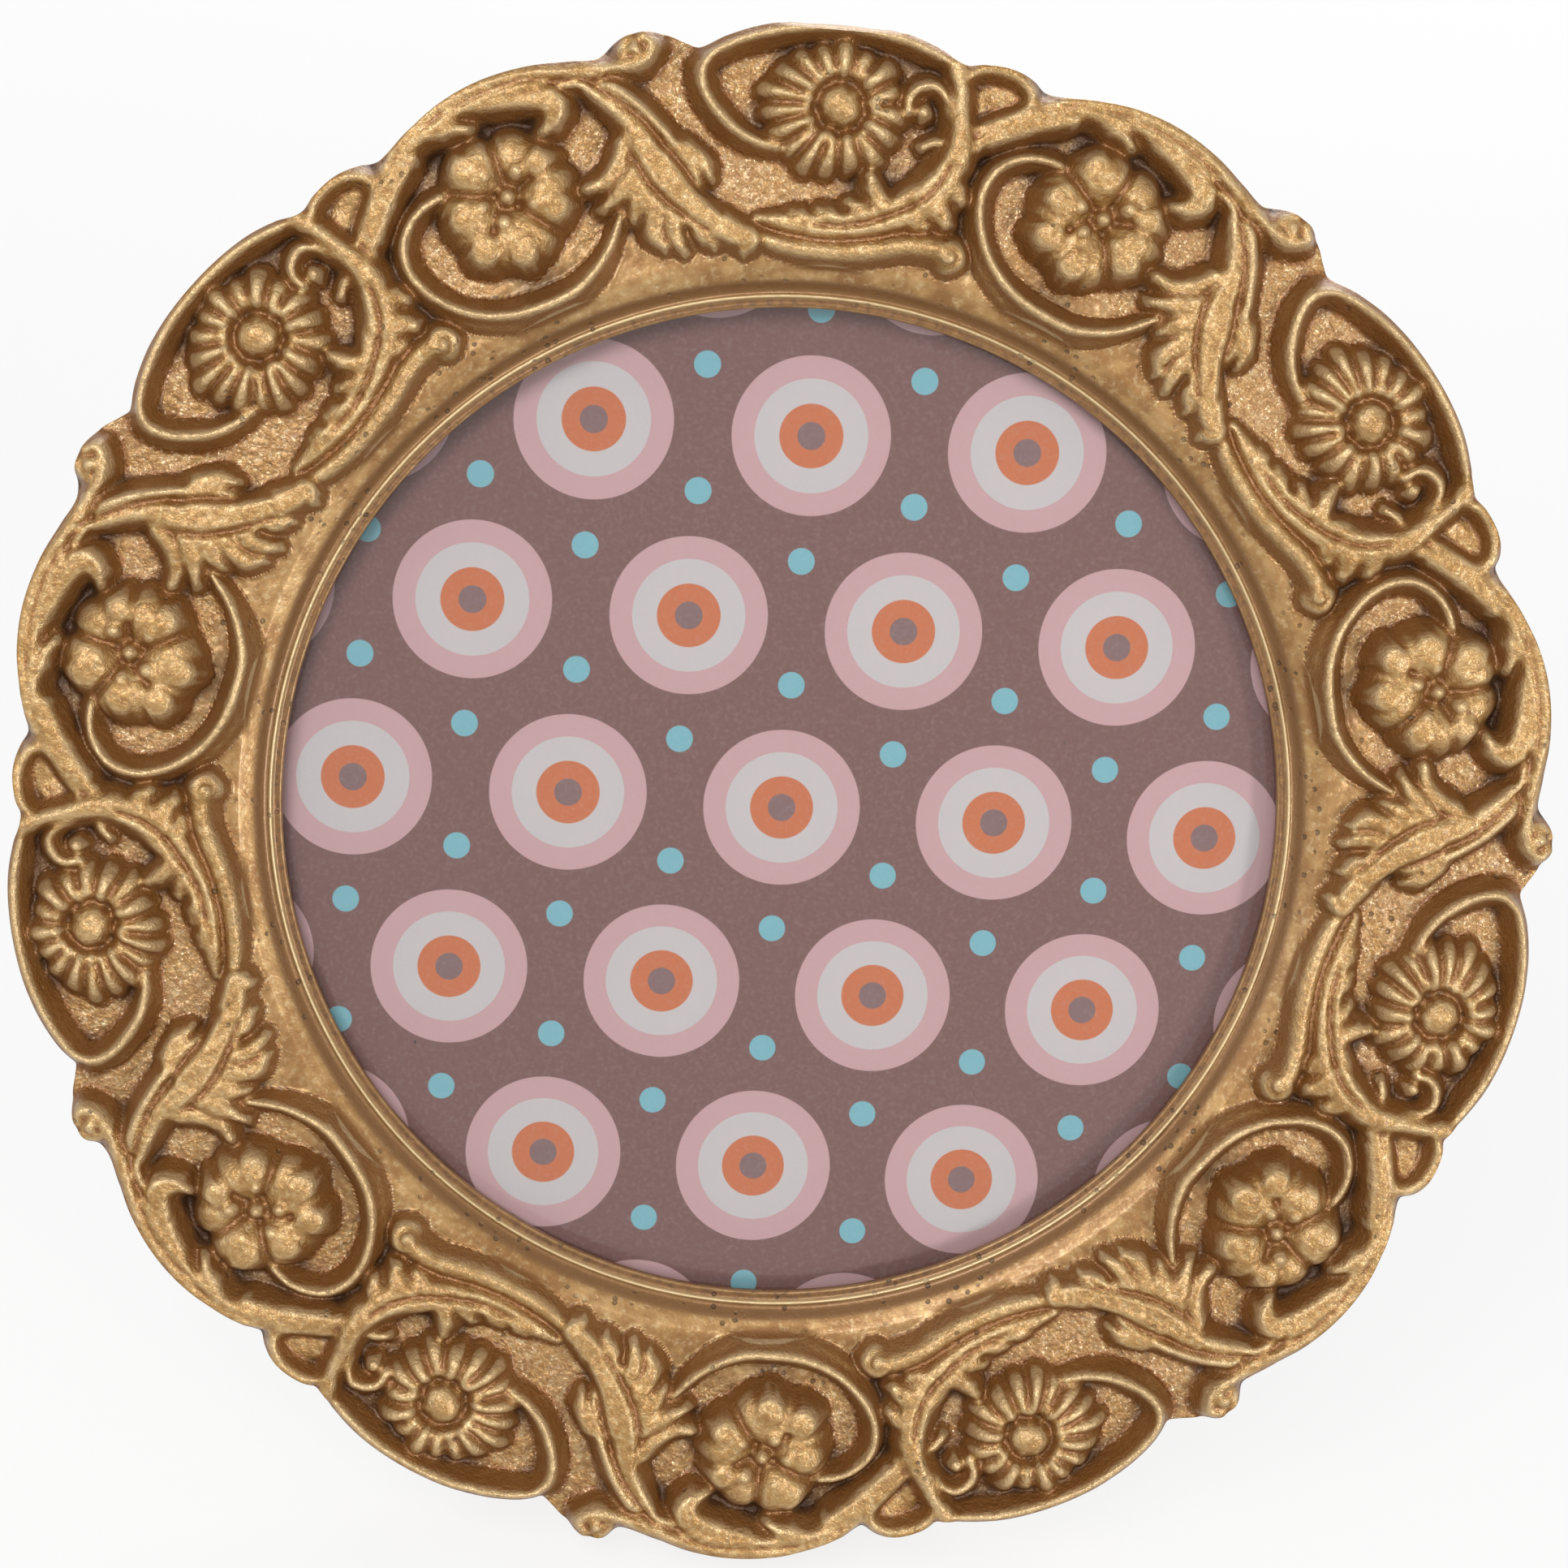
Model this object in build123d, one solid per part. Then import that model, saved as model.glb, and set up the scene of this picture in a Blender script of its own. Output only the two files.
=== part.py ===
from build123d import *
import math
import os

# Ring, millimetres. Plan axes while building: X right, Y up, Z towards the viewer, back face at Z = 0.
REPEATS = 7
SIGHT_R = 48.5
BEAD_W = 2.0
BEAD_RISE = 1.9
BEAD_DROP = 0.75
COVE_W = 3.5
COVE_RISE = 1.7
COVE_TUCK = 0.8
BAND_W = 21.0
LIP_W = 3.7
REAR_FILL = 0.45
SCREW_HOLE_DEPTH = 6.5

# Relief: heights above the floor of the ornament, and the depth that it is sunk into the floor
EMBED = 0.9
STEM_H = 2.9
STEM_CREST = 0.45
LEAF_H = 3.1
DAISY_R = 6.6
DAISY_H = 3.6
DAISY_RIM_H = 1.5
DAISY_PETALS = 12
BUTTON_R = 2.4
BUTTON_H = 4.5
ROSE_R = 6.5
ROSE_RIM_H = 3.7
ROSE_CUP_H = 2.4
ROSE_PETALS = 5
HEART_R = 2.4
HEART_H = 4.4
VOLUTE_R = 1.9

# Stack in the recess, from the back
BOARD_T = 3.0
CARD_T = 1.7
PRINT_T = 0.3
GLASS_T = 2.0
FIT = 0.3

# Turn buttons: set out from the recess, and the hold that each has on the board
BUTTON_COUNT = 4
CLIP_T = 1.0
CLIP_W = 8.0
CLIP_SET = 6.4
CLIP_HOLD = 4.0
SCREW_R = 1.1
SCREW_HEAD_R = 2.6
SCREW_HEAD_H = 1.5
SCREW_END_GAP = 0.5
RUN = 0.05

# Easel
LEAN = 18.0
OPEN = 28.0
HINGE_SET = 3.0
LEAF_T = 0.8
LEAF_W = 26.0
LEAF_L = 14.0
PIN_R = 0.8
PIN_PROUD = 0.4
KNUCKLE_R = 1.7
KNUCKLE_W = 8.0
KNUCKLE_GAP = 0.4
SIDE_PLAY = 0.2
PLAY = 0.1
LUG_L = 5.8
LUG_W = 6.4
LEG_GAP = 0.3
LEG_T = 2.5
LEG_TOP_W = 26.0
LEG_TOP_GAP = 1.2
LEG_FOOT_W = 44.0
LEG_CORNER_R = 3.0
RIVET_R = 1.0
RIVET_HEAD_R = 2.1
RIVET_HEAD_H = 0.9
RIVET_X = 8.0
RIVET_Y = 9.0
SEAT_FLAT = 0.4

# Wall hanger
STRAP_W = 8.0
STRAP_L = 9.0
STRAP_EDGE = 5.9
STRAP_CORNER_R = 2.4
STRAP_RIVET_Y = 3.2
LOOP_GAP = 0.05
RING_WIRE_R = 0.7
RING_HALF_W = 5.2
RING_DROP = 5.6
RING_BEND_R = 1.3

# Sides of the small round details, which are many, and chords in each lobe of the outline
PEG_SIDES = 10
WIRE_SIDES = 6
CLIP_SIDES = 12
LOBE_CHORDS = 3

BAND_R = SIGHT_R + BEAD_W + COVE_W
OUTER_R = BAND_R + BAND_W
RABBET_R = SIGHT_R + LIP_W
STACK_R = RABBET_R - FIT
LEDGE_Z = BOARD_T + CARD_T + PRINT_T + GLASS_T
LIP_TOP_Z = LEDGE_Z + BEAD_RISE
FLOOR_Z = LIP_TOP_Z + COVE_RISE
CLIP_PIVOT_R = RABBET_R + CLIP_SET
CLIP_REACH = CLIP_SET + CLIP_HOLD
LOOP_R = RING_WIRE_R + RUN + LEAF_T
LOOP_Y = STACK_R - STRAP_EDGE
LOOP_Z = -LOOP_R - LOOP_GAP
STRAP_Y = LOOP_Y - STRAP_L
HINGE_Y = STRAP_Y - LEAF_L - HINGE_SET
AXIS_Z = -KNUCKLE_R - PLAY


def polar(deg, radius):
    """Plan point at a clockwise angle from the top."""
    a = math.radians(deg)
    return (radius * math.sin(a), radius * math.cos(a))


def band(deg, percent):
    """Plan point in the ornament: percent 0 is the inner edge, 100 the crown of the daisy lobe."""
    return polar(deg, BAND_R + BAND_W * percent / 100)


def repeat_angle(k):
    """Clockwise angle of the k-th repeat."""
    return 360 * k / REPEATS


def turned(shape, deg):
    """Shape turned clockwise about the ring's axis."""
    return Rot(0, 0, -deg) * shape


def prism(points, z0, z1):
    """Straight block over a closed polygon."""
    face = Face(Wire.make_polygon([Vector(x, y, z0) for x, y in points], close=True))
    return Solid.extrude(face, Vector(0, 0, z1 - z0))


def disc(radius, z0, z1):
    """Round disc between two heights."""
    return Pos(0, 0, (z0 + z1) / 2) * Cylinder(radius, z1 - z0)


# Outline of the ring

def lobes():
    """Arcs of one repeat: angle and percent at the start, the crown and the end of each lobe."""
    valley = -10.6
    shoulder = 89
    return [(valley, shoulder, -0.6, 100, 8.6, 88), (8.6, 88, 12.3, 92, 15.8, 87),
            (15.8, 87, 24.6, 98.5, 33.2, 91), (33.2, 91, 36.4, 99, repeat_angle(1) + valley, shoulder)]


def outline(z, fill):
    """Closed outline through chords of the lobes; fill 0 keeps the valleys, 1 fills them to the crowns."""
    def spot(deg, percent):
        share = fill if percent < 95 else 0
        return Vector(*band(deg, percent + (97 - percent) * share), z)
    points = []
    for k in range(REPEATS):
        s = repeat_angle(k)
        for d0, p0, d1, p1, d2, p2 in lobes():
            arc = Edge.make_three_point_arc(spot(d0 + s, p0), spot(d1 + s, p1), spot(d2 + s, p2))
            points += [arc.position_at(i / LOBE_CHORDS) for i in range(LOBE_CHORDS)]
    return Wire.make_polygon(points, close=True)


def ring_blank():
    """Lobed ring with its recess, lip bead, groove and cove, before the relief is added."""
    blank = Solid.make_loft([outline(0, REAR_FILL), outline(FLOOR_Z, 0)], ruled=True)
    edge = SIGHT_R
    groove_r = SIGHT_R + BEAD_W
    floor_r = BAND_R + COVE_TUCK
    bead_low = LIP_TOP_Z - BEAD_DROP
    cove_mid = 0.45 * LIP_TOP_Z + 0.55 * FLOOR_Z
    cut = [(0, -LEDGE_Z), (RABBET_R, -LEDGE_Z), (RABBET_R, LEDGE_Z), (edge, LEDGE_Z), (edge, bead_low),
           (edge + 0.4 * BEAD_W, LIP_TOP_Z), (edge + 0.7 * BEAD_W, LIP_TOP_Z), (groove_r, bead_low),
           ((groove_r + floor_r) / 2, cove_mid), (floor_r, FLOOR_Z), (floor_r, 2 * FLOOR_Z),
           (0, 2 * FLOOR_Z)]
    section = Wire.make_polygon([Vector(r, 0, z) for r, z in cut], close=True)
    return blank - Solid.revolve(Face(section), 360, Axis.Z)


# Relief of one repeat

def polyhedron(polygons):
    """Solid bounded by flat polygons."""
    return Solid(Shell([Face(Wire.make_polygon(points, close=True)) for points in polygons]))


def course(points, steps):
    """Points and mitred side vectors along a smooth curve through the control points."""
    path = Edge.make_spline([Vector(*band(*p)) for p in points])
    spots = [path.position_at(i / steps) for i in range(steps + 1)]
    normals = []
    for a, b in zip(spots, spots[1:]):
        along = (b - a).normalized()
        normals.append(Vector(-along.Y, along.X))
    sides = [normals[0]]
    for n0, n1 in zip(normals, normals[1:]):
        sides.append((n0 + n1) / (1 + n0.dot(n1)))
    return spots, sides + [normals[-1]]


def stem(points, width, steps):
    """Scroll stem of even width with sloping flanks and a flat crest."""
    spots, sides = course(points, steps)
    rings = []
    for half, z in ((width / 2, FLOOR_Z - EMBED), (STEM_CREST * width / 2, FLOOR_Z + STEM_H)):
        left = [p + n * half + Vector(0, 0, z) for p, n in zip(spots, sides)]
        right = [p - n * half + Vector(0, 0, z) for p, n in zip(spots, sides)]
        rings.append(left + right[::-1])
    low, top = rings
    flanks = []
    for i in range(len(low)):
        flanks.append([low[i - 1], low[i], top[i], top[i - 1]])
    return polyhedron([low, top] + flanks)


def leaf(points, start_w, end_w, steps):
    """Leaf blade: two slopes that meet in a rib, tapering from its root to its tip."""
    spots, sides = course(points, steps)
    foot = Vector(0, 0, FLOOR_Z - EMBED)
    head = Vector(0, 0, FLOOR_Z + LEAF_H)
    halves = [(start_w + (end_w - start_w) * i / steps) / 2 for i in range(steps + 1)]
    left = [p + n * h + foot for p, n, h in zip(spots, sides, halves)]
    right = [p - n * h + foot for p, n, h in zip(spots, sides, halves)]
    rib = [p + head for p in spots]
    slopes = [[left[0], right[0], rib[0]], [left[-1], right[-1], rib[-1]]]
    for edge in (left, right):
        for i in range(steps):
            slopes.append([edge[i], edge[i + 1], rib[i]])
            slopes.append([edge[i + 1], rib[i + 1], rib[i]])
    return polyhedron([left + right[::-1]] + slopes)


def tiered(tiers, sides):
    """Many-sided turned shape: rings of points at (radius, height), closed at both ends."""
    rings = []
    for radius, z in tiers:
        rings.append([Vector(*polar(360 / sides * k, radius), z) for k in range(sides)])
    faces = [rings[0], rings[-1]]
    for low, top in zip(rings, rings[1:]):
        faces += [[low[k - 1], low[k], top[k], top[k - 1]] for k in range(sides)]
    return polyhedron(faces)


def cushion(radius, height, sides):
    """Low dome on the floor, for a petal, a heart or a volute."""
    tiers = [(radius, -EMBED), (0.86 * radius, 0.66 * height), (0.4 * radius, height)]
    return Pos(0, 0, FLOOR_Z) * tiered(tiers, sides)


def rosette(petals, radius, tips, crown_h, rim_h):
    """Flower of equal petals: facets fan out from each petal's middle, over upright walls.

    tips are the outer points of a petal, in half petals from its middle.
    """
    def spot(offset, share, height):
        return Vector(*polar((2 * k + offset) * 180 / petals, share * radius), FLOOR_Z + height)
    faces, floor, eye = [], [], []
    for k in range(petals):
        rim = [(-1, 0.84, 0.7 * rim_h)] + [(t, 1, rim_h) for t in tips] + [(1, 0.84, 0.7 * rim_h)]
        loop = rim + [(1, 0.34, 0.8 * rim_h), (-1, 0.34, 0.8 * rim_h)]
        crown = spot(0, 0.6, crown_h)
        for p, q in zip(loop, loop[1:] + loop[:1]):
            faces.append([crown, spot(*p), spot(*q)])
        for p, q in zip(rim, rim[1:]):
            faces.append([spot(*p), spot(*q), spot(*q[:2], -EMBED), spot(*p[:2], -EMBED)])
        floor += [spot(*p[:2], -EMBED) for p in rim[:-1]]
        eye.append(spot(*loop[-2]))
    return polyhedron(faces + [floor, eye])


def daisy():
    """Many narrow ridged petals round a domed button."""
    petals = rosette(DAISY_PETALS, DAISY_R, (0,), DAISY_H, DAISY_RIM_H)
    return [petals, cushion(BUTTON_R, BUTTON_H, 6)]


def rose():
    """Broad cupped petals round a raised heart."""
    petals = rosette(ROSE_PETALS, ROSE_R, (-0.45, 0.45), ROSE_CUP_H, ROSE_RIM_H)
    return [turned(petals, 8), cushion(HEART_R, HEART_H, 6)]


def acanthus():
    """Main blade of the big leaf, whose curled tip reaches into the next repeat."""
    rib = [(33.4, 82), (34.2, 71), (35.6, 53), (37.4, 36), (39.2, 22), (41.2, 11), (42.6, 3)]
    return leaf(rib, 4.2, 2.6, 3)


def ornaments():
    """Scrolls, leaves and flowers of one repeat, angles from its daisy."""
    stems = [
        ([(8.6, 78), (5, 89), (-1, 92.5), (-6.3, 85.5), (-9.0, 69), (-8.2, 52), (-4.4, 39)], 1.8, 4),
        ([(-8.3, 6), (-4.5, 0), (-0.5, -2), (4, 1), (10.4, 8)], 1.9, 3),
        ([(19, 59), (14.8, 54), (13, 36), (14.4, 16), (19.3, -2), (26.3, -3), (31.2, 15), (32.7, 27)],
         1.9, 5),
        ([(10.6, 51), (13.4, 66), (18, 80), (22.5, 88.5), (27.5, 89.5), (31.8, 78), (33.2, 52)], 2.2, 4),
    ]
    leaves = [
        ([(9.4, 74), (9.6, 45), (7.5, 23), (2.5, 11), (-5.5, 8)], 3.2, 1.4, 3),
        ([(34.3, 67), (33.9, 45), (34.6, 21), (36.1, 1)], 3.8, 1.6, 2),
        ([(36.6, 84), (38.6, 80), (40.4, 77)], 2.4, 1.0, 2),
    ]
    shapes = [acanthus(), turned(acanthus(), -repeat_angle(1))]
    shapes += [stem(*s) for s in stems]
    shapes += [leaf(*s) for s in leaves]
    for spot in (band(11.5, 6), band(35.8, 84)):
        shapes.append(Pos(*spot, 0) * cushion(VOLUTE_R, STEM_H, 6))
    shapes += [Pos(*band(0, 61), 0) * s for s in daisy()]
    shapes += [Pos(*band(23.0, 45), 0) * s for s in rose()]
    return shapes


def frame_ring():
    """One repeat is carved complete, then set round the axis and joined into a single casting."""
    near = 0.5 * SIGHT_R
    far = 2 * OUTER_R
    first = lobes()[0][0]
    last = lobes()[-1][4]
    sector = [polar(first, near), polar(first, far), polar(last, far), polar(last, near)]
    wedge = prism(sector, -FLOOR_Z, 3 * FLOOR_Z)
    repeat = (ring_blank() & wedge).fuse(*ornaments()) & wedge
    repeats = [turned(repeat, repeat_angle(k)) for k in range(REPEATS)]
    ring = repeats[0].fuse(*repeats[1:])
    bore = tiered([(SCREW_R, -BOARD_T), (SCREW_R, SCREW_HOLE_DEPTH)], PEG_SIDES)
    return ring.cut(*[Pos(x, y, 0) * bore for x, y in clip_pivots()])


# Turn buttons and their screws

def clip_angles():
    """Clockwise angles of the turn buttons, set between the leg and the hanger."""
    return [360 / BUTTON_COUNT * (k + 0.5) for k in range(BUTTON_COUNT)]


def clip_pivots():
    """Plan points of the turn buttons' pivots."""
    return [polar(a, CLIP_PIVOT_R) for a in clip_angles()]


def turn_button(deg):
    """Round-ended metal clip that reaches inward over the board's edge and runs clear of both."""
    half = CLIP_W / 2
    span = CLIP_REACH - half
    turns = [360 / CLIP_SIDES * k for k in range(-CLIP_SIDES // 4, CLIP_SIDES // 4 + 1)]
    pivot_end = [polar(t, half) for t in turns]
    outer = pivot_end + [(-x, -span - y) for x, y in pivot_end]
    bore_r = (SCREW_R + RUN) / math.cos(math.pi / PEG_SIDES)
    clip = prism(outer, 0, CLIP_T) - tiered([(bore_r, -CLIP_T), (bore_r, 2 * CLIP_T)], PEG_SIDES)
    return turned(Pos(0, CLIP_PIVOT_R, -CLIP_T - RUN) * clip, deg)


def pan_screw():
    """Pan-head screw whose head keeps the clip on."""
    seat = -CLIP_T - 2 * RUN
    tiers = [(SCREW_R, SCREW_HOLE_DEPTH - SCREW_END_GAP), (SCREW_R, seat), (SCREW_HEAD_R, seat),
             (SCREW_HEAD_R, seat - 0.55 * SCREW_HEAD_H), (0.74 * SCREW_HEAD_R, seat - SCREW_HEAD_H)]
    return tiered(tiers, PEG_SIDES)


# Easel hinge, drawn with the leg folded flat and then opened

def knuckle(x, width):
    """Rolled knuckle round the hinge axis."""
    return Pos(x, HINGE_Y, AXIS_Z) * Rot(0, 90, 0) * Cylinder(KNUCKLE_R, width)


def pin_bore(radius):
    """Bore along the hinge axis."""
    return Pos(0, HINGE_Y, AXIS_Z) * Rot(0, 90, 0) * Cylinder(radius, 2 * LEAF_W)


def opened(shape):
    """Shape turned about the hinge axis, foot backwards."""
    return Pos(0, HINGE_Y, AXIS_Z) * Rot(OPEN, 0, 0) * Pos(0, -HINGE_Y, -AXIS_Z) * shape


def rivet_spots(sign):
    """Plan points of the two rivets in a leaf, above (+1) or below (-1) the pin."""
    return [(s * RIVET_X, HINGE_Y + sign * RIVET_Y) for s in (-1, 1)]


def rivet_bore(spots):
    """Holes for rivets, through everything behind the print."""
    bore = tiered([(RIVET_R, -2 * (LEG_T + LEAF_T)), (RIVET_R, BOARD_T)], PEG_SIDES)
    return [Pos(x, y, 0) * bore for x, y in spots]


def hinge_leaf_fixed():
    """Leaf on the board: plate and the two outer knuckles."""
    leaf = Pos(0, HINGE_Y + LEAF_L / 2, -LEAF_T / 2) * Box(LEAF_W, LEAF_L, LEAF_T)
    outer = (LEAF_W - KNUCKLE_W) / 2 - SIDE_PLAY
    for s in (-1, 1):
        leaf += knuckle(s * (LEAF_W - outer) / 2, outer)
    slot = Box(KNUCKLE_W + 2 * SIDE_PLAY, 2 * (KNUCKLE_R + KNUCKLE_GAP), 4 * KNUCKLE_R)
    leaf -= Pos(0, HINGE_Y, 0) * slot
    leaf -= pin_bore(PIN_R)
    return leaf.cut(*rivet_bore(rivet_spots(1)))


def hinge_leaf_strut():
    """Leaf on the leg: plate, middle knuckle and the lug that stops on the fixed leaf."""
    mid = -LEG_GAP - LEAF_T / 2
    leaf = Pos(0, HINGE_Y - LEAF_L / 2, mid) * Box(LEAF_W, LEAF_L, LEAF_T)
    for s in (-1, 1):
        side = (LEAF_W - KNUCKLE_W) / 2
        corner = Box(side, 2 * (KNUCKLE_R + KNUCKLE_GAP), 4 * KNUCKLE_R)
        leaf -= Pos(s * (LEAF_W - side) / 2, HINGE_Y, mid) * corner
    leaf += knuckle(0, KNUCKLE_W)
    leaf = opened(leaf.cut(*rivet_bore(rivet_spots(-1))))
    lug = Pos(0, HINGE_Y + LUG_L / 2, -1.5 * LEAF_T - PLAY) * Box(LUG_W, LUG_L, LEAF_T)
    return leaf + lug - pin_bore(PIN_R + RUN)


def hinge_pin():
    """Straight pin, tight in the outer knuckles and free in the middle one."""
    return Pos(0, HINGE_Y, AXIS_Z) * Rot(0, 90, 0) * Cylinder(PIN_R, LEAF_W + 2 * PIN_PROUD)


def strut_leg(table_y):
    """Leg widening to its foot, opened; table_y is the plan height that the longest leg must pass."""
    z1 = -LEG_GAP - LEAF_T
    top = HINGE_Y - KNUCKLE_R - LEG_TOP_GAP
    half_top = LEG_TOP_W / 2
    half_foot = LEG_FOOT_W / 2
    shape = [(-half_top, top), (half_top, top), (half_foot, table_y), (-half_foot, table_y)]
    leg = prism(shape, z1 - LEG_T, z1)
    leg = leg.fillet(LEG_CORNER_R, leg.edges().filter_by(Axis.Z).sort_by(Axis.Y)[-2:])
    return opened(leg.cut(*rivet_bore(rivet_spots(-1))))


def rivet(z_head, z_tail):
    """Rivet with a coned head behind z_head and a shank that ends flush at z_tail."""
    tiers = [(RIVET_R, z_tail), (RIVET_R, z_head), (RIVET_HEAD_R, z_head),
             (0.55 * RIVET_HEAD_R, z_head - RIVET_HEAD_H)]
    return tiered(tiers, PEG_SIDES)


def board_rivet_spots():
    """Rivets that pass through the board: two for the hinge and one for the hanger."""
    return rivet_spots(1) + [(0, STRAP_Y + STRAP_RIVET_Y)]


def back_board():
    """Board that closes the recess, with holes for the rivets."""
    return disc(STACK_R, 0, BOARD_T).cut(*rivet_bore(board_rivet_spots()))


# Wall hanger

def hanger_plate():
    """Strap with a rolled loop at its top."""
    strap = Pos(0, STRAP_Y + STRAP_L / 2, -LEAF_T / 2) * Box(STRAP_W, STRAP_L, LEAF_T)
    low = strap.edges().filter_by(Axis.Z).sort_by(Axis.Y)[:2]
    strap = strap.fillet(STRAP_CORNER_R, low)
    strap += Pos(0, LOOP_Y, LOOP_Z) * Rot(0, 90, 0) * Cylinder(LOOP_R, STRAP_W)
    strap -= Pos(0, LOOP_Y, LOOP_Z) * Rot(0, 90, 0) * Cylinder(RING_WIRE_R + RUN, 2 * STRAP_W)
    return strap.cut(*rivet_bore(board_rivet_spots()[2:]))


def hanger_ring():
    """D-shaped wire ring, hanging straight down from the loop of the leaning frame."""
    half = RING_HALF_W
    drop = RING_DROP
    corners = [Vector(-half, 0, 0), Vector(half, 0, 0), Vector(half, -drop, 0), Vector(-half, -drop, 0)]
    path = Wire([
        Edge.make_line(corners[0], corners[1]),
        Edge.make_line(corners[1], corners[2]),
        Edge.make_three_point_arc(corners[2], Vector(0, -drop - half, 0), corners[3]),
        Edge.make_line(corners[3], corners[0]),
    ])
    path = path.fillet_2d(RING_BEND_R, [v for v in path.vertices() if v.Y > -1])
    start = path.position_at(0)
    section = Plane(origin=start, z_dir=path.tangent_at(0)) * RegularPolygon(RING_WIRE_R, WIRE_SIDES)
    wire = sweep(section, path)
    return Pos(0, LOOP_Y, LOOP_Z) * Rot(LEAN, 0, 0) * wire


# Placing: the frame leans back and stands on its lower back edge and the leg's foot

stand = Rot(90 - LEAN, 0, 0)
ring = stand * frame_ring()
table = ring.bounding_box().min.Z + SEAT_FLAT
below = Pos(0, 0, table - OUTER_R) * Box(8 * OUTER_R, 8 * OUTER_R, 2 * OUTER_R)
ring = ring - below
leg = stand * strut_leg(-1.15 * OUTER_R) - below

nodes = {
    "frame_ring": ring,
    "glass_pane": stand * disc(STACK_R, LEDGE_Z - GLASS_T, LEDGE_Z),
    "insert_print": stand * disc(STACK_R, BOARD_T + CARD_T, BOARD_T + CARD_T + PRINT_T),
    "filler_card": stand * disc(STACK_R, BOARD_T, BOARD_T + CARD_T),
    "back_board": stand * back_board(),
    "hinge_leaf_fixed": stand * hinge_leaf_fixed(),
    "hinge_leaf_strut": stand * hinge_leaf_strut(),
    "hinge_pin": stand * hinge_pin(),
    "hinge_rivets": stand * Compound([Pos(x, y, 0) * rivet(-LEAF_T, BOARD_T) for x, y in rivet_spots(1)]),
    "strut_leg": leg,
    "strut_rivets": stand * Compound([opened(Pos(x, y, 0) * rivet(-LEG_GAP - LEAF_T - LEG_T, -LEG_GAP))
                                      for x, y in rivet_spots(-1)]),
    "turn_button_screws": stand * Compound([Pos(x, y, 0) * pan_screw() for x, y in clip_pivots()]),
    "hanger_plate": stand * hanger_plate(),
    "hanger_ring": stand * hanger_ring(),
    "hanger_rivet": stand * Pos(*board_rivet_spots()[2], 0) * rivet(-LEAF_T, BOARD_T),
}
for k, angle in enumerate(clip_angles()):
    nodes[f"turn_button_{k + 1}"] = stand * turn_button(angle)

boxes = [shape.bounding_box() for shape in nodes.values()]
shift = Pos(-(min(b.min.X for b in boxes) + max(b.max.X for b in boxes)) / 2,
            -(min(b.min.Y for b in boxes) + max(b.max.Y for b in boxes)) / 2, -table)

os.makedirs("parts", exist_ok=True)
for name, shape in nodes.items():
    export_step(shift * shape, f"parts/{name}.step")

print("hinge axis", (shift * stand * Pos(0, HINGE_Y, AXIS_Z)).position)
print("hanger axis", (shift * stand * Pos(0, LOOP_Y, LOOP_Z)).position)
for k, (x, y) in enumerate(clip_pivots()):
    print("turn button", k + 1, (shift * stand * Pos(x, y, 0)).position)
print("glass centre", (shift * stand * Pos(0, 0, LEDGE_Z)).position)
print("ring centre", (shift * stand).position)
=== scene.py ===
"""Round gilt photo frame on an easel leg: cast ring of flowers, glass, print and back hardware."""
import logging
import math
from collections.abc import Sequence
from dataclasses import dataclass, field
from enum import Enum
from typing import Any, Protocol

import bmesh
import bpy
import numpy as np
from mathutils import Matrix, Vector


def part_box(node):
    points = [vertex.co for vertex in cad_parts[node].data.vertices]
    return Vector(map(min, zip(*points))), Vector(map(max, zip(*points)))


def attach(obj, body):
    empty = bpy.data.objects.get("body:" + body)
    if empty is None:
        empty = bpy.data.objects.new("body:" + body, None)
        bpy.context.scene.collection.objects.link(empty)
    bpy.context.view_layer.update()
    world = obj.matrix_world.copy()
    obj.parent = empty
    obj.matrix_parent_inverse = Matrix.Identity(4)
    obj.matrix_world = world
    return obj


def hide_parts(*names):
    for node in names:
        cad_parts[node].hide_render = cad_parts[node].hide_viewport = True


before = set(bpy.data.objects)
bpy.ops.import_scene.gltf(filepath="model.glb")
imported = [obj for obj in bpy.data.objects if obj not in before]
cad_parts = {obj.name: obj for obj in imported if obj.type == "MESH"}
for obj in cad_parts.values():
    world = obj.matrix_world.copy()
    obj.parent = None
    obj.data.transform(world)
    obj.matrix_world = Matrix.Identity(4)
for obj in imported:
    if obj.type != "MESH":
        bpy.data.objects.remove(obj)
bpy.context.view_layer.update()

log = logging.getLogger("photo_frame")
MM = 0.001
IMAGE_SIDE = 1932
Colour = tuple[float, float, float, float]
Plan = Sequence[tuple[float, float]]
Ring = list[tuple[float, float, float]]


def srgb(red: float, green: float, blue: float) -> Colour:
    """Linear colour of a swatch.

    Args:
        red: Red of the swatch, 0 to 255.
        green: Green of the swatch, 0 to 255.
        blue: Blue of the swatch, 0 to 255.

    Returns:
        The linear colour with full alpha.
    """
    def linear(c: float) -> float:
        """One channel in linear light."""
        c /= 255
        return c / 12.92 if c <= 0.04045 else ((c + 0.055) / 1.055) ** 2.4
    return (linear(red), linear(green), linear(blue), 1.0)


class Body(Enum):
    """Bodies that pieces ride on."""

    FRAME = "frame"
    LEG = "easel_leg"
    HANGER = "hanger_ring"
    BUTTON_1 = "turn_button_1"
    BUTTON_2 = "turn_button_2"
    BUTTON_3 = "turn_button_3"
    BUTTON_4 = "turn_button_4"


class Slot(Enum):
    """Material slots of the record."""

    GILT = "gilt_resin"
    GLASS = "clear_glass"
    PAPER = "printed_paper"
    BOARD = "dark_board"
    STEEL = "plated_steel"


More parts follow.
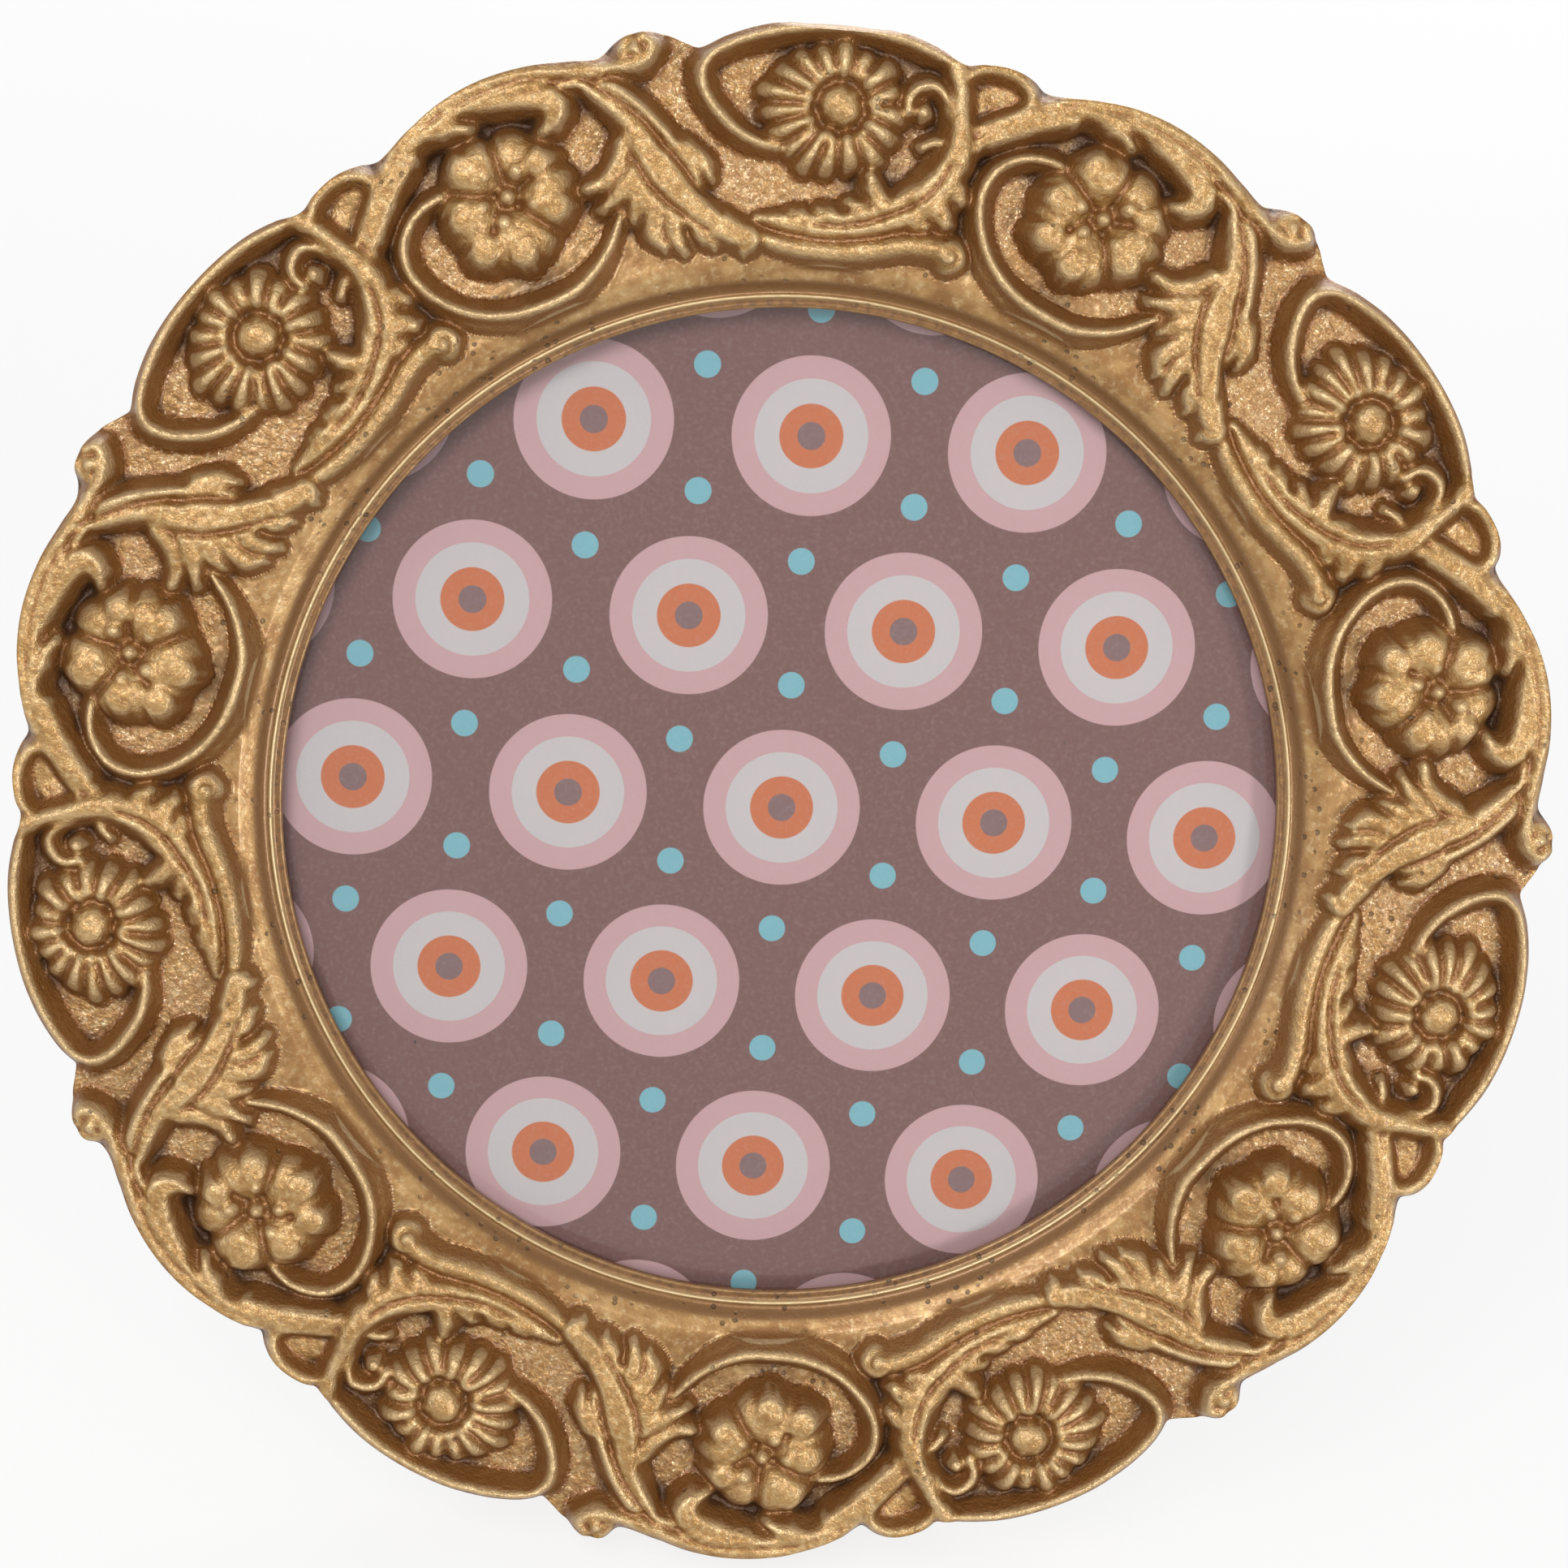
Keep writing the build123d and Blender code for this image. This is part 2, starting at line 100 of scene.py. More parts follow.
class Trait(Enum):
    """Numbers that are stored on the casting for its finish."""

    HOLLOW = "hollow"
    CREASE = "crease"
    RELIEF = "relief"
    SLOPE = "slope"
    COVE = "cove"
    REAR = "rear"
    SIDE = "side"
    LINE = "line"
    BAND = "band"
    RIDGE = "ridge"


class Value:
    """A shader socket; arithmetic on it adds Math nodes."""

    def __init__(self, sheet: "NodeSheet", socket: Any) -> None:
        """Wraps a socket of a node sheet."""
        self.sheet = sheet
        self.socket = socket

    def _math(self, operation: str, *others: Any) -> "Value":
        """Math node of this value and others."""
        inputs = dict(enumerate((self, *others)))
        return self.sheet.node("ShaderNodeMath", {"operation": operation}, inputs)

    def _reflected(self, operation: str, other: float) -> "Value":
        """Math node with a number in front of this value."""
        return self.sheet.node("ShaderNodeMath", {"operation": operation}, {0: other, 1: self})

    def __add__(self, other: Any) -> "Value":
        """Sum."""
        return self._math("ADD", other)

    def __sub__(self, other: Any) -> "Value":
        """Difference."""
        return self._math("SUBTRACT", other)

    def __rsub__(self, other: float) -> "Value":
        """Number less this value."""
        return self._reflected("SUBTRACT", other)

    def __mul__(self, other: Any) -> "Value":
        """Product."""
        return self._math("MULTIPLY", other)

    def __neg__(self) -> "Value":
        """Opposite."""
        return self._math("MULTIPLY", -1.0)

    __radd__ = __add__
    __rmul__ = __mul__

    def at_least(self, other: Any) -> "Value":
        """Larger of two values."""
        return self._math("MAXIMUM", other)

    def at_most(self, other: Any) -> "Value":
        """Smaller of two values."""
        return self._math("MINIMUM", other)

    def fold(self, width: float) -> "Value":
        """Distance from the nearest multiple of a width."""
        return self._math("PINGPONG", width / 2)

    def root(self) -> "Value":
        """Square root."""
        return self._math("SQRT")

    def step(self, low: float, high: float) -> "Value":
        """Smooth rise from 0 at low to 1 at high."""
        names = {"Value": self, "From Min": low, "From Max": high}
        return self.sheet.node("ShaderNodeMapRange", {"interpolation_type": "SMOOTHSTEP"}, names)


class NodeSheet:
    """Node tree of a material or a world."""

    def __init__(self, owner: Any) -> None:
        """Clears the node tree of its owner.

        Args:
            owner: The material or the world.
        """
        owner.use_nodes = True
        self.owner = owner
        self.tree = owner.node_tree
        self.tree.nodes.clear()

    @classmethod
    def material(cls, name: str) -> "NodeSheet":
        """Sheet of a new material."""
        return cls(bpy.data.materials.new(name))

    def node(self, kind: str, settings: dict[str, Any] | None = None, inputs: dict[Any, Any] | None = None,
             output: Any = 0) -> Value:
        """Adds a node.

        Args:
            kind: The node's type.
            settings: Properties that are set first.
            inputs: Socket names or numbers with their values or links.
            output: Name or number of the output that is returned.

        Returns:
            The wanted output.
        """
        node = self.tree.nodes.new(kind)
        for key, value in (settings or {}).items():
            setattr(node, key, value)
        for key, value in (inputs or {}).items():
            if isinstance(value, Value):
                self.tree.links.new(value.socket, node.inputs[key])
            else:
                node.inputs[key].default_value = value
        return Value(self, node.outputs[output] if node.outputs else None)

    def mix(self, share: Any, first: Any, second: Any) -> Value:
        """Colour between two colours."""
        settings = {"data_type": "RGBA", "clamp_factor": True}
        return self.node("ShaderNodeMix", settings, {0: share, 6: first, 7: second}, 2)

    def place(self) -> Value:
        """Position on the object, in metres of the shared frame."""
        return self.node("ShaderNodeTexCoord", output="Object")

    def trait(self, kind: Trait) -> Value:
        """Number stored on the mesh."""
        return self.node("ShaderNodeAttribute", {"attribute_name": kind.value}, output="Fac")

    def noise(self, scale: float, detail: float = 3.0, rough: float = 0.55,
              place: Value | None = None) -> Value:
        """Fractal noise, with a scale per metre."""
        inputs = {"Vector": place or self.place(), "Scale": scale, "Detail": detail, "Roughness": rough}
        return self.node("ShaderNodeTexNoise", None, inputs)

    def cells(self, scale: float, output: str = "Distance") -> Value:
        """Voronoi cells, with a scale per metre."""
        return self.node("ShaderNodeTexVoronoi", None, {"Vector": self.place(), "Scale": scale}, output)

    def cell_number(self, scale: float) -> Value:
        """Random number of each Voronoi cell."""
        colour = self.cells(scale, "Color")
        return self.node("ShaderNodeSeparateColor", None, {"Color": colour}, "Red")

    def along(self, axis: Sequence[float], origin: Sequence[float]) -> Value:
        """Distance along an axis from a point.

        Args:
            axis: Direction of the axis.
            origin: The point, in metres.

        Returns:
            The distance in millimetres.
        """
        shifted = self.node("ShaderNodeVectorMath", {"operation": "SUBTRACT"}, {0: self.place(), 1: origin})
        inputs = {0: shifted, 1: [a / MM for a in axis]}
        return self.node("ShaderNodeVectorMath", {"operation": "DOT_PRODUCT"}, inputs, "Value")

    def bump(self, height: Value, depth_mm: float) -> Value:
        """Normal from a height of 0 to 1."""
        inputs = {"Height": height, "Distance": depth_mm * MM, "Strength": 1.0}
        return self.node("ShaderNodeBump", None, inputs)

    def principled(self, **inputs: Any) -> bpy.types.Material:
        """Closes the material with a Principled shader; underscores in names stand for spaces."""
        named = {key.replace("_", " "): value for key, value in inputs.items()}
        return self.close(self.node("ShaderNodeBsdfPrincipled", None, named))

    def close(self, shader: Value) -> Any:
        """Links a shader to the output.

        Args:
            shader: The finished shader.

        Returns:
            The material or the world that owns the sheet.
        """
        kind = "World" if isinstance(self.owner, bpy.types.World) else "Material"
        self.node(f"ShaderNodeOutput{kind}", None, {"Surface": shader})
        return self.owner


@dataclass(frozen=True)
class GiltFinish:
    """Antique gold paint on cast resin, rubbed over brown glazing, with painted shade in walls, creases,
    hollows and the lip, and painted highlights on crests, ridges and flakes.
    """

    gold: Colour = srgb(154, 115, 60)
    pale: Colour = srgb(178, 142, 90)
    worn_and_highlight: Colour = srgb(216, 192, 148)
    glaze_and_shade: Colour = srgb(122, 76, 30)
    brown: Colour = srgb(114, 77, 36)
    amber: Colour = srgb(126, 82, 36)
    deep: Colour = srgb(50, 28, 14)
    dust: Colour = srgb(144, 106, 68)
    glint: Colour = srgb(226, 200, 164)
    speck: Colour = srgb(44, 32, 18)
    back: Colour = srgb(112, 90, 68)
    putty: Colour = srgb(134, 110, 86)
    drift_scale: float = 90
    blotch_scale: float = 420
    mottle_scale: float = 1500
    grain_scale: float = 3000
    patch_scale: float = 160
    speck_scale: float = 1000
    flake_scale: float = 4200
    pebble_scale: float = 2500
    bump_mm: float = 0.2

    def make(self) -> bpy.types.Material:
        """Builds the material from the casting's stored traits.

        Returns:
            The gilt finish.
        """
        s = NodeSheet.material("gilt_resin")
        hollow, crease, relief, slope, cove, rear, side, line, band, ridge = (s.trait(t) for t in Trait)
        drift = s.noise(self.drift_scale, 4)
        blotch = s.noise(self.blotch_scale, 3)
        mottle = s.noise(self.mottle_scale, 3, 0.6)
        grain = s.noise(self.grain_scale, 2)
        # steep walls, hollows, crests that are rubbed and get a painted highlight, seams at the foot of the
        # forms, and the open floor
        wall = (slope + (blotch - 0.5) * 0.3).step(0.26, 0.72)
        deep = (hollow + (blotch - 0.5) * 0.5).step(0.8, 1.8)
        rub_and_highlight = (-crease + (blotch + mottle - 1.0) * 0.5).step(0.15, 0.75) * (1 - cove * 0.7)
        seam = (crease + (blotch - 0.5) * 0.2).step(0.08, 0.45) * (1 - cove)
        floor = (1 - relief.step(0.03, 0.2)) * (1 - cove) * (1 - wall) * (1 - side)
        # gold with pale, dusty, brown and worn patches
        base = s.mix((drift * 0.6 + blotch * 0.6).step(0.4, 0.85), self.gold, self.pale)
        base = s.mix(floor * (blotch + drift * 0.5).step(0.45, 0.95) * 0.65, base, self.dust)
        base = s.mix(mottle.step(0.49, 0.7) * (0.46 - cove * 0.3 - side * 0.35), base, self.glaze_and_shade)
        base = s.mix(cove * (1 - blotch).step(0.3, 0.7) * 0.7, base, self.amber)
        base = s.mix((1 - mottle).step(0.5, 0.72) * (0.38 - cove * 0.05 - side * 0.28), base, self.worn_and_highlight)
        # brown glazing and painted shade on walls and in creases, dark glazing and painted shade in hollows
        base = s.mix(wall.at_least(seam) * 0.85, base, self.glaze_and_shade)
        base = s.mix(deep * 0.8, base, self.deep)
        # gold rubbed off the crests, with a painted highlight on them
        base = s.mix(rub_and_highlight * 0.38, base, self.worn_and_highlight)
        # lip: brown band of glazing and painted shade, dark groove of painted shade and grime, and a painted
        # highlight on its ridges
        base = s.mix(band * (0.65 + blotch * 0.5), base, self.brown)
        groove_shade_and_dirt = s.mix(mottle.step(0.45, 0.65) * 0.5, self.brown, self.deep)
        base = s.mix(line * (0.7 + blotch * 0.5), base, groove_shade_and_dirt)
        base = s.mix(ridge * (0.3 + mottle), base, self.worn_and_highlight)
        # dark specks in patches, and bright flakes whose pale colour is a painted glint
        pit = 1 - s.cells(self.speck_scale).step(0.16, 0.32)
        chosen = (s.noise(self.patch_scale, 2) + cove * 0.1).step(0.58, 0.68)
        speck = pit * chosen * s.cell_number(self.speck_scale).step(0.4, 0.5)
        base = s.mix(speck * (0.1 + mottle * 0.8), base, self.speck)
        glint = (s.cell_number(self.flake_scale).step(0.86, 0.92)
                 * (0.25 + floor * 0.75 - cove * 0.2) * (1 - deep) * (1 - wall))
        base = s.mix(glint * 0.34, base, self.glint)
        # bare resin behind the overspray
        bare = (rear + (drift + mottle - 1.0) * 0.5).step(0.1, 1.0)
        base = s.mix(bare * 0.9, base, s.mix(drift.step(0.35, 0.7), self.back, self.putty))
        dull = (wall * 0.5 + deep * 0.5 + speck + rear).at_most(1.0)
        pebble = s.cells(self.pebble_scale) * (0.08 - cove * 0.06 + floor * 0.22)
        rough = mottle * (0.85 - cove * 0.7 - side * 0.65) + pebble
        height = blotch * (0.5 - cove * 0.25) + rough + grain * (0.22 - cove * 0.1) - speck * 0.7
        polish = 0.35 + dull * 0.22 + (grain - 0.5) * 0.24 - glint * 0.16 + cove * 0.05
        return s.principled(Base_Color=base, Metallic=0.5 - dull * 0.28, Roughness=polish,
                            Coat_Weight=0.2 + cove * 0.15 - dull * 0.14, Coat_Roughness=0.24,
                            Normal=s.bump(height, self.bump_mm))


@dataclass(frozen=True)
class GlassFinish:
    """Clear float glass: what lies behind shows, with a mirror sheen over it."""

    tint: Colour = (0.965, 0.975, 0.97, 1.0)
    roughness: float = 0.03
    ior: float = 1.45
    smear_scale: float = 60
    smear_mm: float = 0.004

    def make(self) -> bpy.types.Material:
        """Builds the material.

        Returns:
            The clear glass.
        """
        s = NodeSheet.material("clear_glass")
        smear = s.bump(s.noise(self.smear_scale, 2), self.smear_mm)
        clear = s.node("ShaderNodeBsdfTransparent", None, {"Color": self.tint})
        sheen = s.node("ShaderNodeBsdfGlossy", None, {"Roughness": self.roughness, "Normal": smear})
        share = s.node("ShaderNodeFresnel", None, {"IOR": self.ior})
        return s.close(s.node("ShaderNodeMixShader", None, {0: share, 1: clear, 2: sheen}))


@dataclass(frozen=True)
class PrintFinish:
    """Matt paper printed with staggered roundels and dots."""

    ground: Colour = srgb(127, 82, 77)
    pink: Colour = srgb(214, 168, 172)
    white: Colour = srgb(214, 204, 206)
    orange: Colour = srgb(214, 114, 62)
    mauve: Colour = srgb(136, 102, 102)
    blue: Colour = srgb(130, 192, 206)
    lint: Colour = srgb(40, 30, 30)
    fibre_scale: float = 2600
    lint_scale: float = 260
    bump_mm: float = 0.02
    pitch: float = 21.0
    rings: tuple[float, float, float, float] = (7.7, 5.5, 3.1, 1.35)
    dot: float = 1.3
    edge: float = 0.06

    def make(self, stand: "Stand") -> bpy.types.Material:
        """Builds the material in the print's own plane.

        Args:
            stand: The leaning plane of the ring.

        Returns:
            The printed paper.
        """
        s = NodeSheet.material("printed_paper")
        across = s.along(stand.right, stand.centre_m)
        upward = s.along(stand.up, stand.centre_m)
        row = self.pitch * math.sqrt(3)
        ring = self._lattice(across, upward, row, 0.0)
        below, above = (self._lattice(across, upward, row, lift) for lift in (row / 3, -row / 3))
        dots = below.at_most(above)
        ink = s.mix(1 - dots.step(self.dot - self.edge, self.dot + self.edge), self.ground, self.blue)
        for radius, colour in zip(self.rings, (self.pink, self.white, self.orange, self.mauve)):
            ink = s.mix(1 - ring.step(radius - self.edge, radius + self.edge), ink, colour)
        fibre = s.noise(self.fibre_scale, 3)
        ink = s.mix((fibre - 0.42).step(0.0, 0.4) * 0.12, ink, self.white)
        spot = 1 - s.cells(self.lint_scale).step(0.03, 0.05)
        lint = spot * s.cell_number(self.lint_scale).step(0.93, 0.94)
        ink = s.mix(lint * 0.8, ink, self.lint)
        return s.principled(Base_Color=ink, Roughness=0.62 + fibre * 0.2, Normal=s.bump(fibre, self.bump_mm))

    def _lattice(self, across: Value, upward: Value, row: float, lift: float) -> Value:
        """Distance to the nearest point of a staggered lattice.

        Args:
            across: Place to the right.
            upward: Place up the print.
            row: Height of two rows.
            lift: Shift of the lattice downwards.

        Returns:
            The distance in millimetres.
        """
        spots = []
        for half in (0.0, 0.5):
            x = (across + self.pitch * half).fold(self.pitch)
            y = (upward + (row * half + lift)).fold(row)
            spots.append((x * x + y * y).root())
        return spots[0].at_most(spots[1])


@dataclass(frozen=True)
class BoardFinish:
    """Board faced with short dark flock."""

    pile: Colour = srgb(44, 40, 38)
    tips: Colour = srgb(84, 78, 74)
    lint: Colour = srgb(150, 144, 136)
    nap_scale: float = 3800
    brush_scale: float = 55
    lint_scale: float = 700
    bump_mm: float = 0.12

    def make(self) -> bpy.types.Material:
        """Builds the material.

        Returns:
            The flocked board.
        """
        s = NodeSheet.material("dark_board")
        nap = s.noise(self.nap_scale, 3, 0.7)
        brushed = s.noise(self.brush_scale, 3)
        colour = s.mix((nap * 0.7 + brushed * 0.5).step(0.45, 0.85), self.pile, self.tips)
        spot = 1 - s.cells(self.lint_scale).step(0.10, 0.16)
        lint = spot * s.cell_number(self.lint_scale).step(0.93, 0.95)
        colour = s.mix(lint * 0.45, colour, self.lint)
        return s.principled(Base_Color=colour, Roughness=0.86 + nap * 0.12, Normal=s.bump(nap, self.bump_mm),
                            Sheen_Weight=0.25, Sheen_Roughness=0.5)


@dataclass(frozen=True)
class CardFinish:
    """Grey filler card with flecks of pulp."""

    pulp: Colour = srgb(150, 143, 132)
    fleck: Colour = srgb(104, 98, 90)
    fibre_scale: float = 1800
    fleck_scale: float = 1400
    bump_mm: float = 0.03

    def make(self) -> bpy.types.Material:
        """Builds the material.

        Returns:
            The grey card.
        """
        s = NodeSheet.material("grey_card")
        fibre = s.noise(self.fibre_scale, 4)
        colour = s.mix(s.cell_number(self.fleck_scale).step(0.8, 0.9) * 0.6, self.pulp, self.fleck)
        return s.principled(Base_Color=colour, Roughness=0.8 + fibre * 0.15,
                            Normal=s.bump(fibre, self.bump_mm))


@dataclass(frozen=True)
class SteelFinish:
    """Plated sheet steel and wire with fine drawn lines and rubbed spots."""

    bright: Colour = srgb(206, 202, 192)
    dull: Colour = srgb(150, 144, 132)
    stretch: tuple[float, float, float] = (1.0, 9.0, 9.0)
    line_scale: float = 900
    cloud_scale: float = 240
    bump_mm: float = 0.01

    def make(self) -> bpy.types.Material:
        """Builds the material.

        Returns:
            The plated steel.
        """
        s = NodeSheet.material("plated_steel")
        stretched = s.node("ShaderNodeMapping", None, {"Vector": s.place(), "Scale": self.stretch})
        lines = s.noise(self.line_scale, 2, 0.6, stretched)
        cloud = s.noise(self.cloud_scale, 3)
        colour = s.mix((cloud + lines * 0.3).step(0.4, 0.9), self.bright, self.dull)
        return s.principled(Base_Color=colour, Metallic=0.95, Roughness=0.24 + cloud * 0.2 + lines * 0.1,
                            Normal=s.bump(lines, self.bump_mm))


@dataclass
class Stand:
    """The leaning plane of the ring: right, up and front axes, and the centre of its back face."""

    lean_deg: float = 18.0
    glass_mid_z: float = 6.0
    right: Vector = field(init=False)
    up: Vector = field(init=False)
    front: Vector = field(init=False)
    centre_m: Vector = field(init=False)

    def __post_init__(self) -> None:
        """Reads the centre from the glass, which lies at a known depth in the ring."""
        lean = math.radians(self.lean_deg)
        self.right = Vector((1.0, 0.0, 0.0))
        self.up = Vector((0.0, math.sin(lean), math.cos(lean)))
        self.front = Vector((0.0, -math.cos(lean), math.sin(lean)))
        low, high = (Vector(c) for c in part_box("glass_pane"))
        self.centre_m = (low + high) / 2 - self.front * self.glass_mid_z * MM

    def points(self, u: np.ndarray, v: np.ndarray, z: np.ndarray) -> np.ndarray:
        """World points of plan points and heights.

        Args:
            u: Millimetres to the right of the centre.
            v: Millimetres up the leaning plane.
            z: Millimetres in front of the ring's back.

        Returns:
            An array of points in metres.
        """
        spots = [u.ravel()[:, None] * np.array(self.right), v.ravel()[:, None] * np.array(self.up),
                 z.ravel()[:, None] * np.array(self.front)]
        return np.array(self.centre_m) + sum(spots) * MM

    def matrix(self, u: float, v: float, z: float) -> Matrix:
        """Frame of a fitting on the plane, with its Z towards the front.

        Args:
            u: Millimetres to the right of the centre.
            v: Millimetres up the leaning plane.
            z: Millimetres in front of the ring's back.

        Returns:
            The frame, in metres.
        """
        turn = Matrix((self.right, self.up, self.front)).transposed()
        spot = self.centre_m + (self.right * u + self.up * v + self.front * z) * MM
        return Matrix.Translation(spot) @ turn.to_4x4()


class Profile(Enum):
    """Cross-sections of a carved stroke."""

    ROUND = "round"
    FLAT = "flat"
    LEAF = "leaf"
    CREST = "crest"

    def height(self, x: np.ndarray, side: np.ndarray) -> np.ndarray:
        """Height of the section, 0 to 1.

        Args:
            x: Distance from the middle line over the half width, 0 to 1.
            side: 1 left of the line and -1 right of it.

        Returns:
            The height at each point.
        """
        dome = np.sqrt(1 - x ** 2)
        if self is Profile.ROUND:
            return dome
        if self is Profile.FLAT:
            return np.sqrt(1 - x ** 4)
        if self is Profile.LEAF:
            return np.sqrt(1 - x ** 5) * (0.90 + 0.10 * x ** 2)
        flank = 0.34 * np.sqrt(np.clip(1 - (x / 0.42) ** 2, 0, 1)) + 0.66 * np.sqrt(1 - x ** 2.2)
        return np.where(side > 0, dome, flank)


def plan_point(deg: float, radius: float) -> tuple[float, float]:
    """Plan point at a clockwise angle from the top."""
    a = math.radians(deg)
    return (radius * math.sin(a), radius * math.cos(a))


def smooth_max(first: np.ndarray, second: np.ndarray, reach: float) -> np.ndarray:
    """Larger of two heights, with a fillet where they meet."""
    near = np.clip(1 - np.abs(first - second) / reach, 0, None)
    return np.maximum(first, second) + 0.25 * reach * near * near


class Form(Protocol):
    """A raised form of the ornament."""

    def over(self, u: np.ndarray, v: np.ndarray) -> np.ndarray:
        """Height above the floor at plan points, 0 outside the form."""


@dataclass
class Stroke:
    """A stem, leaf or rim that follows a smooth line through points at (angle, radius)."""

    points: Plan
    halves: Sequence[float]
    heights: Sequence[float]
    profile: Profile = Profile.ROUND
    rights: Sequence[float] = ()

    SPANS = 6
    GIRTH = 1.2
    FAR = 9.0
    TINY = 1e-9

    def line(self) -> np.ndarray:
        """Smooth line through the points.

        Returns:
            The line's points in plan, in millimetres.
        """
        p = np.array([plan_point(*q) for q in self.points])
        p = np.vstack([2 * p[0] - p[1], p, 2 * p[-1] - p[-2]])
        t = np.linspace(0, 1, self.SPANS, endpoint=False)[:, None]
        runs = []
        for a, b, c, d in zip(p, p[1:], p[2:], p[3:]):
            runs.append(0.5 * (2 * b + (c - a) * t + (2 * a - 5 * b + 4 * c - d) * t ** 2
                               + (3 * b - a - 3 * c + d) * t ** 3))
        return np.vstack([*runs, p[-2:-1]])

    def over(self, u: np.ndarray, v: np.ndarray) -> np.ndarray:
        """Height of the stroke above the floor at plan points, 0 outside it.

        Args:
            u: Plan points' places to the right.
            v: Plan points' places upward.

        Returns:
            The heights in millimetres.
        """
        line = self.line()
        share = np.linspace(0, 1, len(line))
        left, right, tall = (np.interp(share, np.linspace(0, 1, len(row)), row)
                             for row in (self.halves, self.rights or self.halves, self.heights))
        result = np.zeros_like(u)
        reach = max(left.max(), right.max()) * self.GIRTH
        low, high = line.min(axis=0) - reach, line.max(axis=0) + reach
        near = (u > low[0]) & (u < high[0]) & (v > low[1]) & (v < high[1])
        if not near.any():
            return result
        pu, pv = u[near], v[near]
        best = np.full(pu.shape, self.FAR)
        top = np.zeros_like(pu)
        side = np.ones_like(pu)
        for i in range(len(line) - 1):
            (au, av), (du, dv) = line[i], line[i + 1] - line[i]
            s = np.clip(((pu - au) * du + (pv - av) * dv) / (du * du + dv * dv + self.TINY), 0, 1)
            gu, gv = pu - au - s * du, pv - av - s * dv
            hand = np.where(du * gv - dv * gu > 0, 1.0, -1.0)
            half = np.where(hand > 0, left[i] + (left[i + 1] - left[i]) * s,
                            right[i] + (right[i + 1] - right[i]) * s)
            x = np.hypot(gu, gv) / (half * self.GIRTH)
            closer = x < best
            best = np.where(closer, x, best)
            top = np.where(closer, tall[i] + (tall[i + 1] - tall[i]) * s, top)
            side = np.where(closer, hand, side)
        result[near] = np.where(best < 1, top * self.profile.height(np.clip(best, 0, 1), side), 0.0)
        return result


@dataclass
class Knob:
    """Domed lump, drawn out along one direction where it is longer."""

    place: tuple[float, float]
    radius: float
    top: float
    shoulder: float = 3.0
    foot: float = 0.0
    longer: float = 1.0
    turn_deg: float = 0.0

    def over(self, u: np.ndarray, v: np.ndarray) -> np.ndarray:
        """Height of the lump above the floor at plan points.

        Args:
            u: Plan points' places to the right.
            v: Plan points' places upward.

        Returns:
            The heights in millimetres.
        """
        cu, cv = plan_point(*self.place)
        a = math.radians(self.turn_deg + self.place[0])
        x, y = u - cu, v - cv
        along = (x * math.sin(a) + y * math.cos(a)) / self.longer
        across = x * math.cos(a) - y * math.sin(a)
        rho = np.hypot(along, across) / self.radius
        dome = np.clip(1 - rho ** self.shoulder, 0, 1) ** 0.5
        return np.where(rho < 1, self.foot + (self.top - self.foot) * dome, 0)


@dataclass
class Volute(Knob):
    """Lump with a groove that winds inward."""

    wind: float = 0.0

    START = 0.25
    TRAVEL = 0.5
    GROOVE_W = 0.24
    GROOVE_DEPTH = 0.24

    def over(self, u: np.ndarray, v: np.ndarray) -> np.ndarray:
        """Height of the lump above the floor at plan points.

        Args:
            u: Plan points' places to the right.
            v: Plan points' places upward.

        Returns:
            The heights in millimetres.
        """
        cu, cv = plan_point(*self.place)
        rho = np.hypot(u - cu, v - cv)
        share = (np.arctan2(u - cu, v - cv) / (2 * math.pi) + self.wind) % 1.0
        track = self.radius * (self.START + self.TRAVEL * share)
        groove = np.exp(-((rho - track) / self.GROOVE_W) ** 2)
        return super().over(u, v) * (1 - self.GROOVE_DEPTH * groove)


